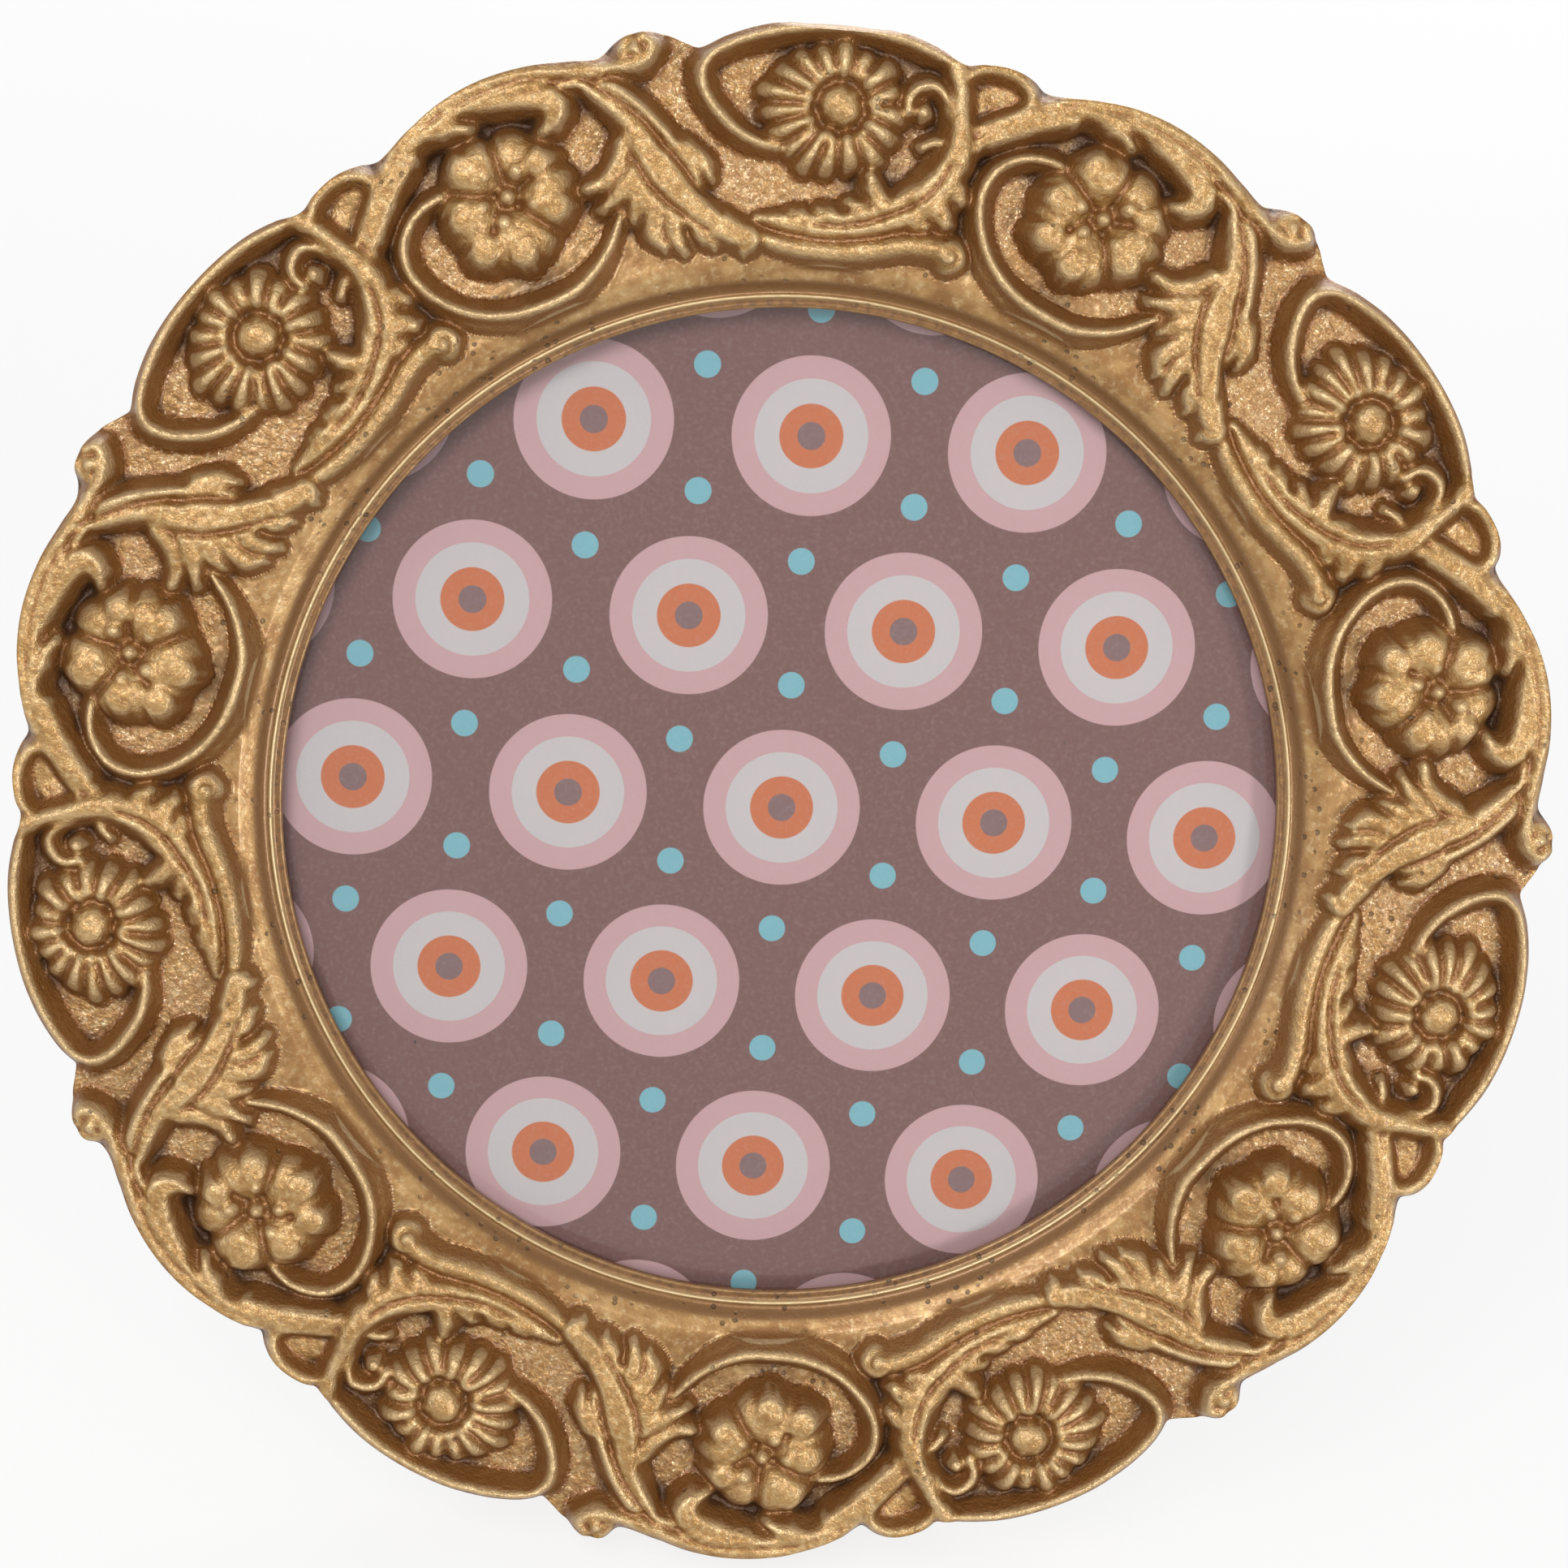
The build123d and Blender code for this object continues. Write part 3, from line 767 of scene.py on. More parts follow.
@dataclass
class Blossom:
    """Flower whose petals meet in grooves and end in scallops.

    Petals are pairs of angle and length. Their angles run clockwise from the ring's outward way.
    """

    place: tuple[float, float]
    petals: Plan
    top: float
    tip: float
    dip: float
    groove: float
    gape: float
    notch: float
    belly: float
    sway: float
    crease: float = 0.0
    cleft: float = 0.0
    moat_r: float = 0.0
    moat: float = 0.0

    MOAT_W = 0.38
    SWAY_STEP = 2.4
    CLEFT_W = 0.5
    HEART = 0.5
    CURL = 0.6

    def over(self, u: np.ndarray, v: np.ndarray) -> np.ndarray:
        """Height of the flower above the floor at plan points.

        Args:
            u: Plan points' places to the right.
            v: Plan points' places upward.

        Returns:
            The heights in millimetres.
        """
        cu, cv = plan_point(*self.place)
        rho = np.hypot(u - cu, v - cv)
        turn = np.degrees(np.arctan2(u - cu, v - cv)) - self.place[0]
        ditch = self.moat * np.exp(-((rho - self.moat_r) / self.MOAT_W) ** 2)
        result = np.zeros_like(u)
        ordered = sorted(self.petals)
        count = len(ordered)
        for k, (angle, length) in enumerate(ordered):
            before, after = ordered[k - 1], ordered[(k + 1) % count]
            low = -0.5 * ((angle - before[0]) % 360)
            high = 0.5 * ((after[0] - angle) % 360)
            rel = (turn - angle + 180) % 360 - 180
            share = np.where(rel > 0, rel / high, -rel / low)
            mean = 0.5 * (length + np.where(rel > 0, after[1], before[1]))
            x = np.abs(share)
            end = length + (mean - length) * x ** 2
            end = end * (1 - self.notch * x ** 3 - self.cleft * np.clip(1 - x / self.CLEFT_W, 0, 1) ** 1.5)
            t = rho / end
            inner = np.clip(1 - t / self.HEART, 0, 1)
            outer = np.clip((t - self.CURL) / (1 - self.CURL), 0, 1)
            crown = self.top + self.sway * math.sin(self.SWAY_STEP * k)
            body = crown - (crown - self.dip) * inner ** 1.5 - (crown - self.tip) * outer ** 2
            gap = rho * np.radians((1 - x) * np.where(rel > 0, high, -low))
            body = body - self.groove * np.exp(-(gap / self.gape) ** 2) - self.belly * x ** 2
            middle = np.exp(-(rho * np.radians(np.abs(rel)) / self.gape) ** 2)
            body = body - self.crease * middle * np.clip(2 * t - self.CURL, 0, 1)
            body = (body - ditch) * np.sqrt(np.clip(1 - t ** 9, 0, 1))
            inside = (rel >= low) & (rel < high) & (t < 1)
            result = np.where(inside, np.maximum(body, 0), result)
        return result


def daisy() -> list[Form]:
    """Petals of differing length round an oval button in a groove.

    Returns:
        The head, its button and the ring of beads where the petals start.
    """
    place = (-0.1, 67.1)
    deg, radius = place
    petals = ((-170, 6.9), (-152, 7.5), (-135, 7.2), (-117, 7.8), (-99, 7.6), (-82, 8.2), (-64, 7.2),
              (-43, 6.7), (-22, 6.2), (0, 6.6), (25, 5.9), (49, 6.6), (72, 6.1), (96, 6.6), (119, 6.5),
              (142, 7.0), (166, 6.4))
    head = Blossom(place, petals, top=2.95, tip=2.05, dip=2.2, groove=0.5, gape=0.3, notch=0.17, belly=0.3,
                   sway=0.3, moat_r=2.35, moat=1.5)
    forms: list[Form] = [head, Knob(place, 1.8, 3.0, shoulder=2.8, foot=1.4, longer=1.2, turn_deg=120)]
    for turn in range(0, 360, 40):
        a, r = math.radians(turn), 3.3 + 0.2 * math.sin(turn)
        spot = (deg + math.degrees(r * math.sin(a) / radius), radius + r * math.cos(a))
        forms.append(Knob(spot, 0.65, 2.8, shoulder=2.2, foot=2.2))
    return forms


def rose() -> list[Form]:
    """Heart-shaped petals round a cluster of beads.

    Returns:
        The head, its beads and the lumps on its petals.
    """
    place = (23.2, 63.9)
    petals = ((-94, 6.9), (-34, 6.7), (44, 6.3), (108, 6.7), (188, 7.1))
    beads = ((24.7, 65.8), (22.1, 61.9), (25.2, 62.4), (22.1, 66.5), (20.9, 64.0))
    lumps = ((19.6, 60.4, 1.5), (22.6, 59.0, 1.5), (26.6, 61.6, 1.4), (26.5, 65.8, 1.3), (19.4, 63.8, 1.6),
             (21.0, 67.6, 1.5))
    head = Blossom(place, petals, top=3.15, tip=2.5, dip=1.3, groove=0.6, gape=0.36, notch=0.17, belly=0.26,
                   sway=0.24, crease=0.08, cleft=0.05)
    forms: list[Form] = [head, Knob(place, 0.95, 3.1, shoulder=2.2, foot=1.2)]
    forms += [Knob(bead, 1.05, 3.4, shoulder=2.2, foot=1.4) for bead in beads]
    return forms + [Knob((deg, radius), size, 3.35, shoulder=2.0, foot=2.9) for deg, radius, size in lumps]


def repeat_ornament() -> list[Form]:
    """Carved forms of one repeat, at angles from its daisy.

    Returns:
        Strokes, knobs and volutes, and the two flowers.
    """
    leaf, flat, crest = Profile.LEAF, Profile.FLAT, Profile.CREST
    strokes: list[Form] = [
        # rim of the daisy's loop
        Stroke([(8.6, 72.0), (7.0, 72.8), (4.5, 73.6), (1.9, 74.0), (-1.0, 74.1), (-4.0, 73.9), (-7.0, 73.2),
                (-9.4, 72.2), (-10.5, 71.0), (-10.8, 69.7), (-10.4, 67.9), (-9.4, 66.1), (-8.2, 64.7),
                (-6.6, 63.7), (-5.0, 63.2)], (0.5,), (2.6, 2.6, 2.7, 2.7, 2.7, 2.6, 2.5, 2.1), crest,
               (0.9, 1.0, 1.0, 1.0, 1.0, 1.1, 1.3, 1.3, 1.2, 0.7)),
        # crook, main stem and knot beside the daisy
        Stroke([(5.3, 67.4), (5.2, 68.6), (5.8, 69.7), (7.0, 70.1), (8.0, 69.3), (8.7, 67.8), (9.3, 66.4)],
               (0.55, 0.6, 0.65, 0.75), (2.3, 2.5, 2.7)),
        Knob((6.5, 67.6), 0.95, 2.2),
        Stroke([(8.3, 72.2), (8.9, 70.4), (9.3, 68.3), (9.8, 66.1), (9.9, 64.2), (9.4, 62.3), (8.0, 60.0)],
               (1.0, 0.75, 0.85, 1.15, 1.35, 1.35, 1.3), (2.8, 2.9, 3.0, 3.2, 3.2, 3.1, 3.0), flat),
        Stroke([(9.4, 65.2), (8.1, 65.2), (7.0, 64.5)], (0.8, 0.7, 0.5), (2.3, 1.9)),
        # cell between the two loops
        Stroke([(9.1, 69.5), (9.0, 71.2), (9.9, 72.4), (11.2, 72.9), (12.7, 72.8), (13.9, 72.0),
                (14.3, 71.0), (13.8, 69.8), (12.2, 68.3), (10.4, 66.8)], (0.7, 0.75, 0.85, 0.85, 0.8, 0.7),
               (2.7, 2.7, 2.6, 2.5)),
        Stroke([(9.8, 69.0), (11.4, 70.4), (13.0, 71.2)], (1.2, 1.5, 1.2), (1.5, 1.2, 1.5), flat),
        # leafy rim of the rose's loop with its notched points and its curl
        Stroke([(10.4, 64.6), (11.7, 66.6), (13.4, 68.8), (15.3, 70.5), (17.6, 71.9), (20.2, 73.0),
                (23.0, 73.5), (26.0, 73.5), (29.0, 73.0), (31.2, 72.1), (32.8, 71.2)],
               (0.7, 0.85, 1.0, 1.15, 1.2, 1.2, 1.1, 0.9), (2.6, 2.7, 2.8, 2.8, 2.8, 2.7), flat),
        Stroke([(12.2, 66.4), (14.2, 68.5), (16.4, 70.2), (18.0, 70.9)], (0.5, 0.95, 0.95, 0.45),
               (2.6, 2.7, 2.7, 2.6), flat),
        Stroke([(16.6, 72.0), (18.9, 72.5), (20.8, 72.1), (22.6, 71.0)], (0.5, 1.0, 1.15, 0.3),
               (2.8, 2.9, 2.9, 2.6), flat),
        Stroke([(21.8, 73.3), (24.3, 72.9), (26.5, 72.4), (28.3, 71.5), (29.2, 70.3), (28.9, 69.1),
                (27.7, 68.2)], (0.6, 1.15, 1.35, 1.35, 1.2, 0.9, 0.25), (2.8, 2.9, 3.0, 3.1, 3.2, 3.0, 2.5),
               leaf),
        Stroke([(33.8, 65.4), (32.8, 63.4), (31.3, 62.2), (29.6, 62.1)], (0.8, 0.9, 0.8, 0.45),
               (2.5, 2.5, 2.3, 2.1), flat),
        # scroll round the rose
        Stroke([(18.4, 66.7), (16.7, 66.6), (14.9, 65.8), (13.5, 64.3), (12.9, 62.3), (13.1, 60.3),
                (14.0, 58.2), (15.8, 56.0), (18.5, 54.4), (21.9, 53.7), (25.5, 53.8), (28.4, 55.1),
                (30.4, 56.8), (32.0, 59.0)], (0.45,), (2.3, 2.5, 2.6, 2.6, 2.7, 2.8, 2.8, 2.7, 2.4, 2.0),
               crest, (0.45, 0.65, 0.85, 0.95, 1.0, 1.1, 1.3, 1.5, 1.6, 1.6, 1.5, 1.3, 0.9, 0.5)),
        # stem along the cove and the calyx leaf above it
        Stroke([(-8.4, 55.9), (-5.9, 54.6), (-2.4, 53.9), (1.2, 53.9), (4.5, 54.5), (7.5, 55.4),
                (10.0, 55.7), (11.4, 55.5)], (0.6, 1.0, 1.15, 1.2, 1.2, 1.25), (1.8, 2.1, 2.3, 2.4, 2.6)),
        Stroke([(9.6, 63.0), (8.9, 61.0), (7.4, 59.3), (5.2, 57.8), (2.0, 56.5), (-1.4, 56.1), (-4.6, 56.4),
                (-7.2, 56.8)], (1.3, 1.6, 1.7, 1.45, 1.15, 0.95, 0.7, 0.3),
               (3.1, 3.1, 3.0, 2.9, 2.6, 2.4, 2.1, 1.4), leaf),
        Stroke([(8.8, 61.6), (10.2, 61.5), (11.2, 60.6)], (1.2, 1.15, 0.6), (2.9, 2.9, 2.4), flat),
        Stroke([(7.8, 59.6), (9.4, 59.2), (10.4, 58.2)], (1.25, 1.2, 0.65), (2.9, 2.9, 2.4), flat),
        Stroke([(6.6, 58.6), (7.6, 57.8), (8.6, 57.5)], (1.1, 1.0, 0.6), (2.7, 2.6, 2.3), flat),
        Stroke([(5.4, 58.0), (4.2, 58.9), (3.5, 59.9), (3.0, 61.2)], (1.1, 1.0, 0.8, 0.45),
               (2.8, 2.7, 2.6, 2.2), flat),
        Stroke([(3.6, 57.2), (2.5, 57.9), (1.4, 58.4)], (0.95, 0.85, 0.4), (2.6, 2.5, 2.1), flat),
        Stroke([(0.8, 56.5), (-0.3, 57.1), (-1.5, 57.5)], (0.9, 0.75, 0.35), (2.4, 2.3, 1.9), flat),
        Stroke([(-1.8, 56.3), (-2.9, 56.9), (-4.0, 57.3)], (0.8, 0.65, 0.3), (2.2, 2.1, 1.7), flat),
        # acanthus: blade with its double rib, curled tip and lobes
        Stroke([(-20.2, 72.2), (-18.6, 70.0), (-17.0, 67.6), (-16.2, 65.6), (-15.6, 63.2), (-14.6, 60.6),
                (-13.0, 58.2), (-10.9, 56.5), (-9.0, 55.4), (-7.9, 54.9), (-8.6, 54.0)],
               (0.7, 0.9, 1.05, 1.35, 1.7, 1.65, 1.5, 1.3, 1.1, 0.9, 0.5),
               (2.6, 2.9, 3.0, 3.1, 3.2, 3.2, 3.0, 2.8, 2.7, 2.7, 2.3), leaf),
        Stroke([(-19.3, 72.0), (-17.5, 70.2), (-15.9, 68.1), (-14.6, 65.9), (-13.6, 64.2)],
               (0.5, 0.55, 0.6, 0.65, 0.6), (2.7, 3.1, 3.1, 3.0, 2.8)),
        Stroke([(-14.2, 64.2), (-12.8, 63.4), (-11.6, 62.2), (-11.0, 60.6)], (0.8, 1.15, 0.9, 0.25),
               (2.6, 2.5, 2.3, 1.9), flat),
        Stroke([(-13.8, 62.8), (-12.6, 61.4), (-12.2, 59.8)], (0.9, 0.8, 0.25), (2.5, 2.3, 1.9), flat),
        Stroke([(-16.4, 62.4), (-16.8, 60.0), (-16.0, 58.0)], (1.3, 1.5, 1.2), (2.2, 2.1, 2.0), flat),
        Stroke([(-16.6, 62.8), (-18.8, 61.1), (-20.9, 59.9)], (1.2, 1.05, 0.35), (2.9, 2.8, 2.2), flat),
        Stroke([(-16.2, 61.4), (-17.6, 59.7), (-18.4, 58.3)], (1.2, 1.1, 0.45), (2.9, 2.8, 2.2), flat),
        Stroke([(-15.4, 60.0), (-16.4, 58.4), (-16.9, 56.6), (-16.2, 55.2)], (1.1, 1.05, 0.9, 0.45),
               (2.8, 2.7, 2.5, 2.1), flat),
        Stroke([(-14.4, 58.8), (-15.0, 57.0), (-14.9, 55.6), (-14.4, 54.5)], (1.0, 0.95, 0.8, 0.4),
               (2.7, 2.6, 2.4, 2.0), flat),
        Stroke([(-12.6, 57.4), (-12.6, 55.8), (-11.4, 54.6)], (0.8, 0.75, 0.35), (2.5, 2.4, 2.0), flat),
        # stem that curls up as the outer volute
        Stroke([(-22.4, 73.2), (-20.2, 72.8), (-17.9, 72.2), (-16.0, 71.9), (-14.7, 72.4), (-14.1, 73.5),
                (-14.7, 74.3)], (0.9, 0.85, 0.85, 0.9, 0.9, 0.8, 0.6), (2.7, 2.7, 2.7, 2.6, 2.5)),
        Volute((11.6, 55.4), 1.75, 2.6, 4.0, wind=0.2),
        Volute((-15.6, 73.2), 1.7, 2.8, 4.0, wind=0.6),
    ]
    return strokes + daisy() + rose()


def repeat_veins() -> list[Stroke]:
    """Grooves cut into the forms of one repeat.

    Returns:
        Strokes whose heights are the grooves' depths.
    """
    return [
        # between the two ribs, and along both edges of the blade
        Stroke([(-19.7, 71.8), (-18.0, 69.9), (-16.4, 67.8), (-15.3, 65.8), (-14.7, 64.2)],
               (0.22, 0.28, 0.3), (0.9, 1.3)),
        Stroke([(-17.2, 63.6), (-16.2, 60.8), (-14.1, 58.0), (-11.8, 56.0)], (0.25, 0.28, 0.2),
               (1.1, 0.9, 0.5)),
        Stroke([(-15.0, 64.8), (-13.6, 62.6), (-12.3, 60.0), (-10.2, 57.3)], (0.25, 0.25, 0.18),
               (0.8, 0.6, 0.4)),
        # between the ribs and the stem of the outer volute, and its turn
        Stroke([(-22.5, 72.2), (-20.4, 71.9), (-18.3, 71.2), (-16.8, 70.9)], (0.2, 0.3), (0.7, 1.3)),
        # middle of the calyx leaf
        Stroke([(9.5, 63.4), (8.7, 61.0), (7.0, 59.0), (4.4, 57.4), (1.4, 56.4), (-2.0, 56.2)],
               (0.22, 0.26, 0.2), (0.5, 0.7, 0.5)),
        # along the rim of the rose's loop
        Stroke([(14.6, 70.6), (17.6, 72.2), (20.6, 73.1), (24.0, 73.4), (27.4, 73.2), (30.6, 72.2)],
               (0.15, 0.2), (0.3, 0.45)),
    ]


@dataclass
class Casting:
    """The gilt ring: relief, lip, side wall, back and recess as one closed mesh."""

    stand: Stand
    repeats: int = 7
    columns: int = 240
    rows: int = 96
    rabbet_r: float = 52.2
    ledge_z: float = 7.0
    floor_z: float = 10.6
    band_r: float = 52.45
    foot_r: float = 51.9
    foot_w: float = 0.9
    weld: float = 0.36
    draft: float = 1.75
    draft_cells: int = 8
    drop: float = 0.98
    crest: float = 2.8
    outline: Plan = ((-10.6, 72.75), (-8.6, 73.55), (-5.5, 74.4), (-0.6, 74.7), (4.2, 74.35), (7.0, 73.5),
                     (8.6, 72.6), (10.4, 73.1), (12.3, 73.35), (14.2, 73.0), (15.8, 72.4), (18.4, 73.25),
                     (21.4, 74.2), (24.6, 74.6), (28.2, 74.3), (31.2, 73.6), (33.2, 73.2), (34.6, 74.25),
                     (36.4, 74.75), (38.4, 74.3), (39.8, 73.3))
    lip: Plan = ((48.5, 7.0), (48.5, 7.7), (48.58, 7.86), (48.72, 7.92), (48.95, 7.88), (49.2, 7.87),
                 (49.36, 7.98), (49.46, 8.16), (49.56, 8.26), (49.68, 8.23), (49.8, 8.06), (49.92, 7.98),
                 (50.1, 8.02), (50.3, 8.16), (50.55, 8.44), (50.8, 8.74), (51.0, 8.93), (51.2, 9.07),
                 (51.5, 9.28), (51.85, 9.47), (52.3, 9.62))
    edge_inset: float = 0.1
    most_h: float = 4.25
    vein_share: float = 0.7
    cove_r: float = 58.0
    cove_fade: float = 1.5
    cove_h: float = 0.3
    # rings of the lip where the finish paints shade in the groove and band and a highlight on the ridges
    dark_r: float = 48.98
    dark_w: float = 0.38
    brown_r: float = 50.5
    brown_w: float = 0.68
    ridge_r: float = 49.58
    ridge_w: float = 0.16
    soft_cells: int = 1
    crease_cells: int = 2
    hollow_cells: int = 9
    crease_h: float = 0.3
    relief_h: float = 3.5
    steepest: float = 3.0
    arris: tuple[float, float] = (0.3, 1.0)
    wall_z: tuple[float, float, float] = (9.0, 5.0, 0.5)
    rear_fill: float = 0.25
    rear_ease: float = 0.4
    rear_mid_r: float = 63.0
    recess_ease: float = 0.2
    ledge_gap: float = 0.05
    uneven: float = 0.05
    uneven_rows: int = 14
    wave_seed: int = 5
    wave_count: int = 56
    wave_sum: float = 6.0
    broad_count: int = 26
    broad_wave: tuple[float, float, float] = (0.35, 2.6, 1.0)
    fine_wave: tuple[float, float, float] = (2.6, 7.0, 0.9)
    overspray: Sequence[float] = (0.0, 0.05, 0.12, 0.3, 0.55, 0.85)

    @property
    def step(self) -> float:
        """Angle of one repeat in degrees."""
        return 360 / self.repeats

    def edge(self, deg: np.ndarray) -> np.ndarray:
        """Radius of the front outline, smooth through the outline's points.

        Args:
            deg: Angles from a daisy.

        Returns:
            The radii in millimetres.
        """
        known = np.array(self.outline)
        angle = np.concatenate([known[-4:, 0] - self.step, known[:, 0], known[:4, 0] + self.step])
        radius = np.concatenate([known[-4:, 1], known[:, 1], known[:4, 1]])
        place = (deg - known[0, 0]) % self.step + known[0, 0]
        i = np.clip(np.searchsorted(angle, place, side="right") - 1, 1, len(angle) - 3)
        t = (place - angle[i]) / (angle[i + 1] - angle[i])
        slope0 = (radius[i + 1] - radius[i - 1]) / (angle[i + 1] - angle[i - 1])
        slope1 = (radius[i + 2] - radius[i]) / (angle[i + 2] - angle[i])
        gap = angle[i + 1] - angle[i]
        return ((2 * t ** 3 - 3 * t ** 2 + 1) * radius[i] + (t ** 3 - 2 * t ** 2 + t) * gap * slope0
                + (3 * t ** 2 - 2 * t ** 3) * radius[i + 1] + (t ** 3 - t ** 2) * gap * slope1)

    def relief(self, deg: np.ndarray, radius: np.ndarray) -> np.ndarray:
        """Height of one repeat's ornament, with what its neighbours reach over, above its floor.

        Args:
            deg: Angles from the daisy.
            radius: Radii in millimetres.

        Returns:
            The heights in millimetres.
        """
        turns = [np.radians(deg - k * self.step) for k in (-1, 0, 1)]
        plans = [(radius * np.sin(a), radius * np.cos(a)) for a in turns]
        height = np.zeros_like(radius)
        for u, v in plans:
            for form in repeat_ornament():
                height = smooth_max(height, form.over(u, v), self.weld)
        for u, v in plans:
            for vein in repeat_veins():
                height = height - np.minimum(vein.over(u, v), self.vein_share * height)
        return height

    def drafted(self, height: np.ndarray, radius: np.ndarray) -> np.ndarray:
        """Heights with every wall sloped out as a mould needs it.

        Args:
            height: Heights by angle and radius.
            radius: Radii of the same points.

        Returns:
            The heights with sloping walls.
        """
        across = radius * math.radians(self.step / self.columns)
        along = np.gradient(radius, axis=1)
        for _ in range(self.draft_cells):
            for turn in (-1, 1):
                height = np.maximum(height, np.roll(height, turn, axis=0) - self.draft * across)
                moved = np.roll(height, turn, axis=1) - self.draft * along
                moved[:, 0 if turn > 0 else -1] = 0
                height = np.maximum(height, moved)
        return height

    @staticmethod
    def blurred(height: np.ndarray, reach: int) -> np.ndarray:
        """Mean height round each point; the first axis closes on itself.

        Args:
            height: Heights by angle and radius.
            reach: Number of neighbours each way.

        Returns:
            The mean heights.
        """
        total = sum(np.roll(height, k, axis=0) for k in range(-reach, reach + 1)) / (2 * reach + 1)
        padded = np.pad(total, ((0, 0), (reach, reach)), mode="edge")
        width = height.shape[1]
        return sum(padded[:, k:k + width] for k in range(2 * reach + 1)) / (2 * reach + 1)

    def waviness(self, u: np.ndarray, v: np.ndarray) -> np.ndarray:
        """Unevenness of a hand-finished cast: broad and fine waves with a range of pitch and a weight.

        Args:
            u: Plan points' places to the right.
            v: Plan points' places upward.

        Returns:
            The unevenness, about -1 to 1.
        """
        draw = np.random.default_rng(self.wave_seed)
        total = np.zeros_like(u)
        for k in range(self.wave_count):
            low, high, weight = self.broad_wave if k < self.broad_count else self.fine_wave
            angle = draw.uniform(0, 2 * math.pi)
            pitch = draw.uniform(low, high)
            phase = draw.uniform(0, 2 * math.pi)
            total += weight * np.sin(pitch * (u * math.cos(angle) + v * math.sin(angle)) + phase)
        return total / self.wave_sum

    def build(self) -> bpy.types.Object:
        """Makes the casting and stores what its finish reads.

        Returns:
            The new object.
        """
        deg = self.outline[0][0] + self.step * np.arange(self.columns) / self.columns
        edge = self.edge(deg)
        lip = np.array(self.lip)
        n = len(lip)
        share = np.linspace(0, 1, self.rows)
        radius = np.hstack([np.tile(lip[:, 0], (self.columns, 1)),
                            self.band_r + (edge[:, None] - self.edge_inset - self.band_r) * share])
        angle = np.tile(deg[:, None], (1, radius.shape[1]))
        carved = self.relief(angle, radius)
        base = carved.min()
        fade = np.clip((radius - self.foot_r) / self.foot_w, 0, 1)
        carved = (carved - base) * (1 + base / self.crest) * fade
        carved[:, n:] = self.blurred(self.drafted(carved[:, n:], radius[:, n:]), self.soft_cells)
        floor = self.floor_z - self.drop
        ground = np.full_like(radius, floor)
        ground[:, :n] = lip[:, 1]
        raised = floor + carved * (1 + self.drop / self.crest)
        front = np.where(carved > 0, smooth_max(ground, raised, self.weld), ground)
        front = np.minimum(front, self.floor_z + self.most_h)
        return self._assemble(deg, edge, radius, front, self._traits(radius, front, carved))

    def _traits(self, radius: np.ndarray, front: np.ndarray, carved: np.ndarray) -> dict[Trait, np.ndarray]:
        """Numbers that the finish reads, at each point of one repeat.

        Args:
            radius: Radii in millimetres.
            front: Heights of the front.
            carved: Heights of the ornament alone.

        Returns:
            An array for each trait.
        """
        rise = np.gradient(front, axis=1) / np.maximum(np.gradient(radius, axis=1), 1e-3)
        arc = 2 * math.radians(self.step / self.columns) * radius
        run = (np.roll(front, -1, 0) - np.roll(front, 1, 0)) / arc
        bare = carved < self.cove_h
        return {
            Trait.HOLLOW: self.blurred(front, self.hollow_cells) - front,
            Trait.CREASE: (self.blurred(front, self.crease_cells) - front) / self.crease_h,
            Trait.RELIEF: np.clip((front - self.floor_z) / self.relief_h, 0, 1),
            Trait.SLOPE: np.clip(np.hypot(rise, run) / self.steepest, 0, 1),
            Trait.COVE: np.clip((self.cove_r - radius) / self.cove_fade, 0, 1) * bare,
            Trait.REAR: np.zeros_like(front),
            Trait.SIDE: np.zeros_like(front),
            Trait.LINE: np.exp(-((radius - self.dark_r) / self.dark_w) ** 6),
            Trait.BAND: np.exp(-((radius - self.brown_r) / self.brown_w) ** 6),
            Trait.RIDGE: np.exp(-((radius - self.ridge_r) / self.ridge_w) ** 2),
        }

    def _wall(self, edge: np.ndarray, top: np.ndarray) -> list[tuple[np.ndarray, np.ndarray]]:
        """Side wall, back and recess behind the front.

        Args:
            edge: Radii of the front's edge.
            top: Heights of the front's edge.

        Returns:
            Radii and heights of each tier, from the front's edge round to the ledge.
        """
        crown = max(r for _, r in self.outline)
        rear = edge + (crown - edge) * self.rear_fill
        level = np.ones_like(edge)
        upper, middle, lower = self.wall_z
        wall = [(edge, top - self.arris[0]), (edge, top - self.arris[1]), (edge, level * upper),
                (0.5 * (edge + rear), level * middle), (rear, level * lower),
                (rear - self.rear_ease, level * 0)]
        recess = ((self.rear_mid_r, 0.0), (self.rabbet_r, 0.0), (self.rabbet_r, self.recess_ease),
                  (self.rabbet_r, self.ledge_z - self.ledge_gap),
                  (self.rabbet_r - self.recess_ease, self.ledge_z))
        return wall + [(level * r, level * z) for r, z in recess]

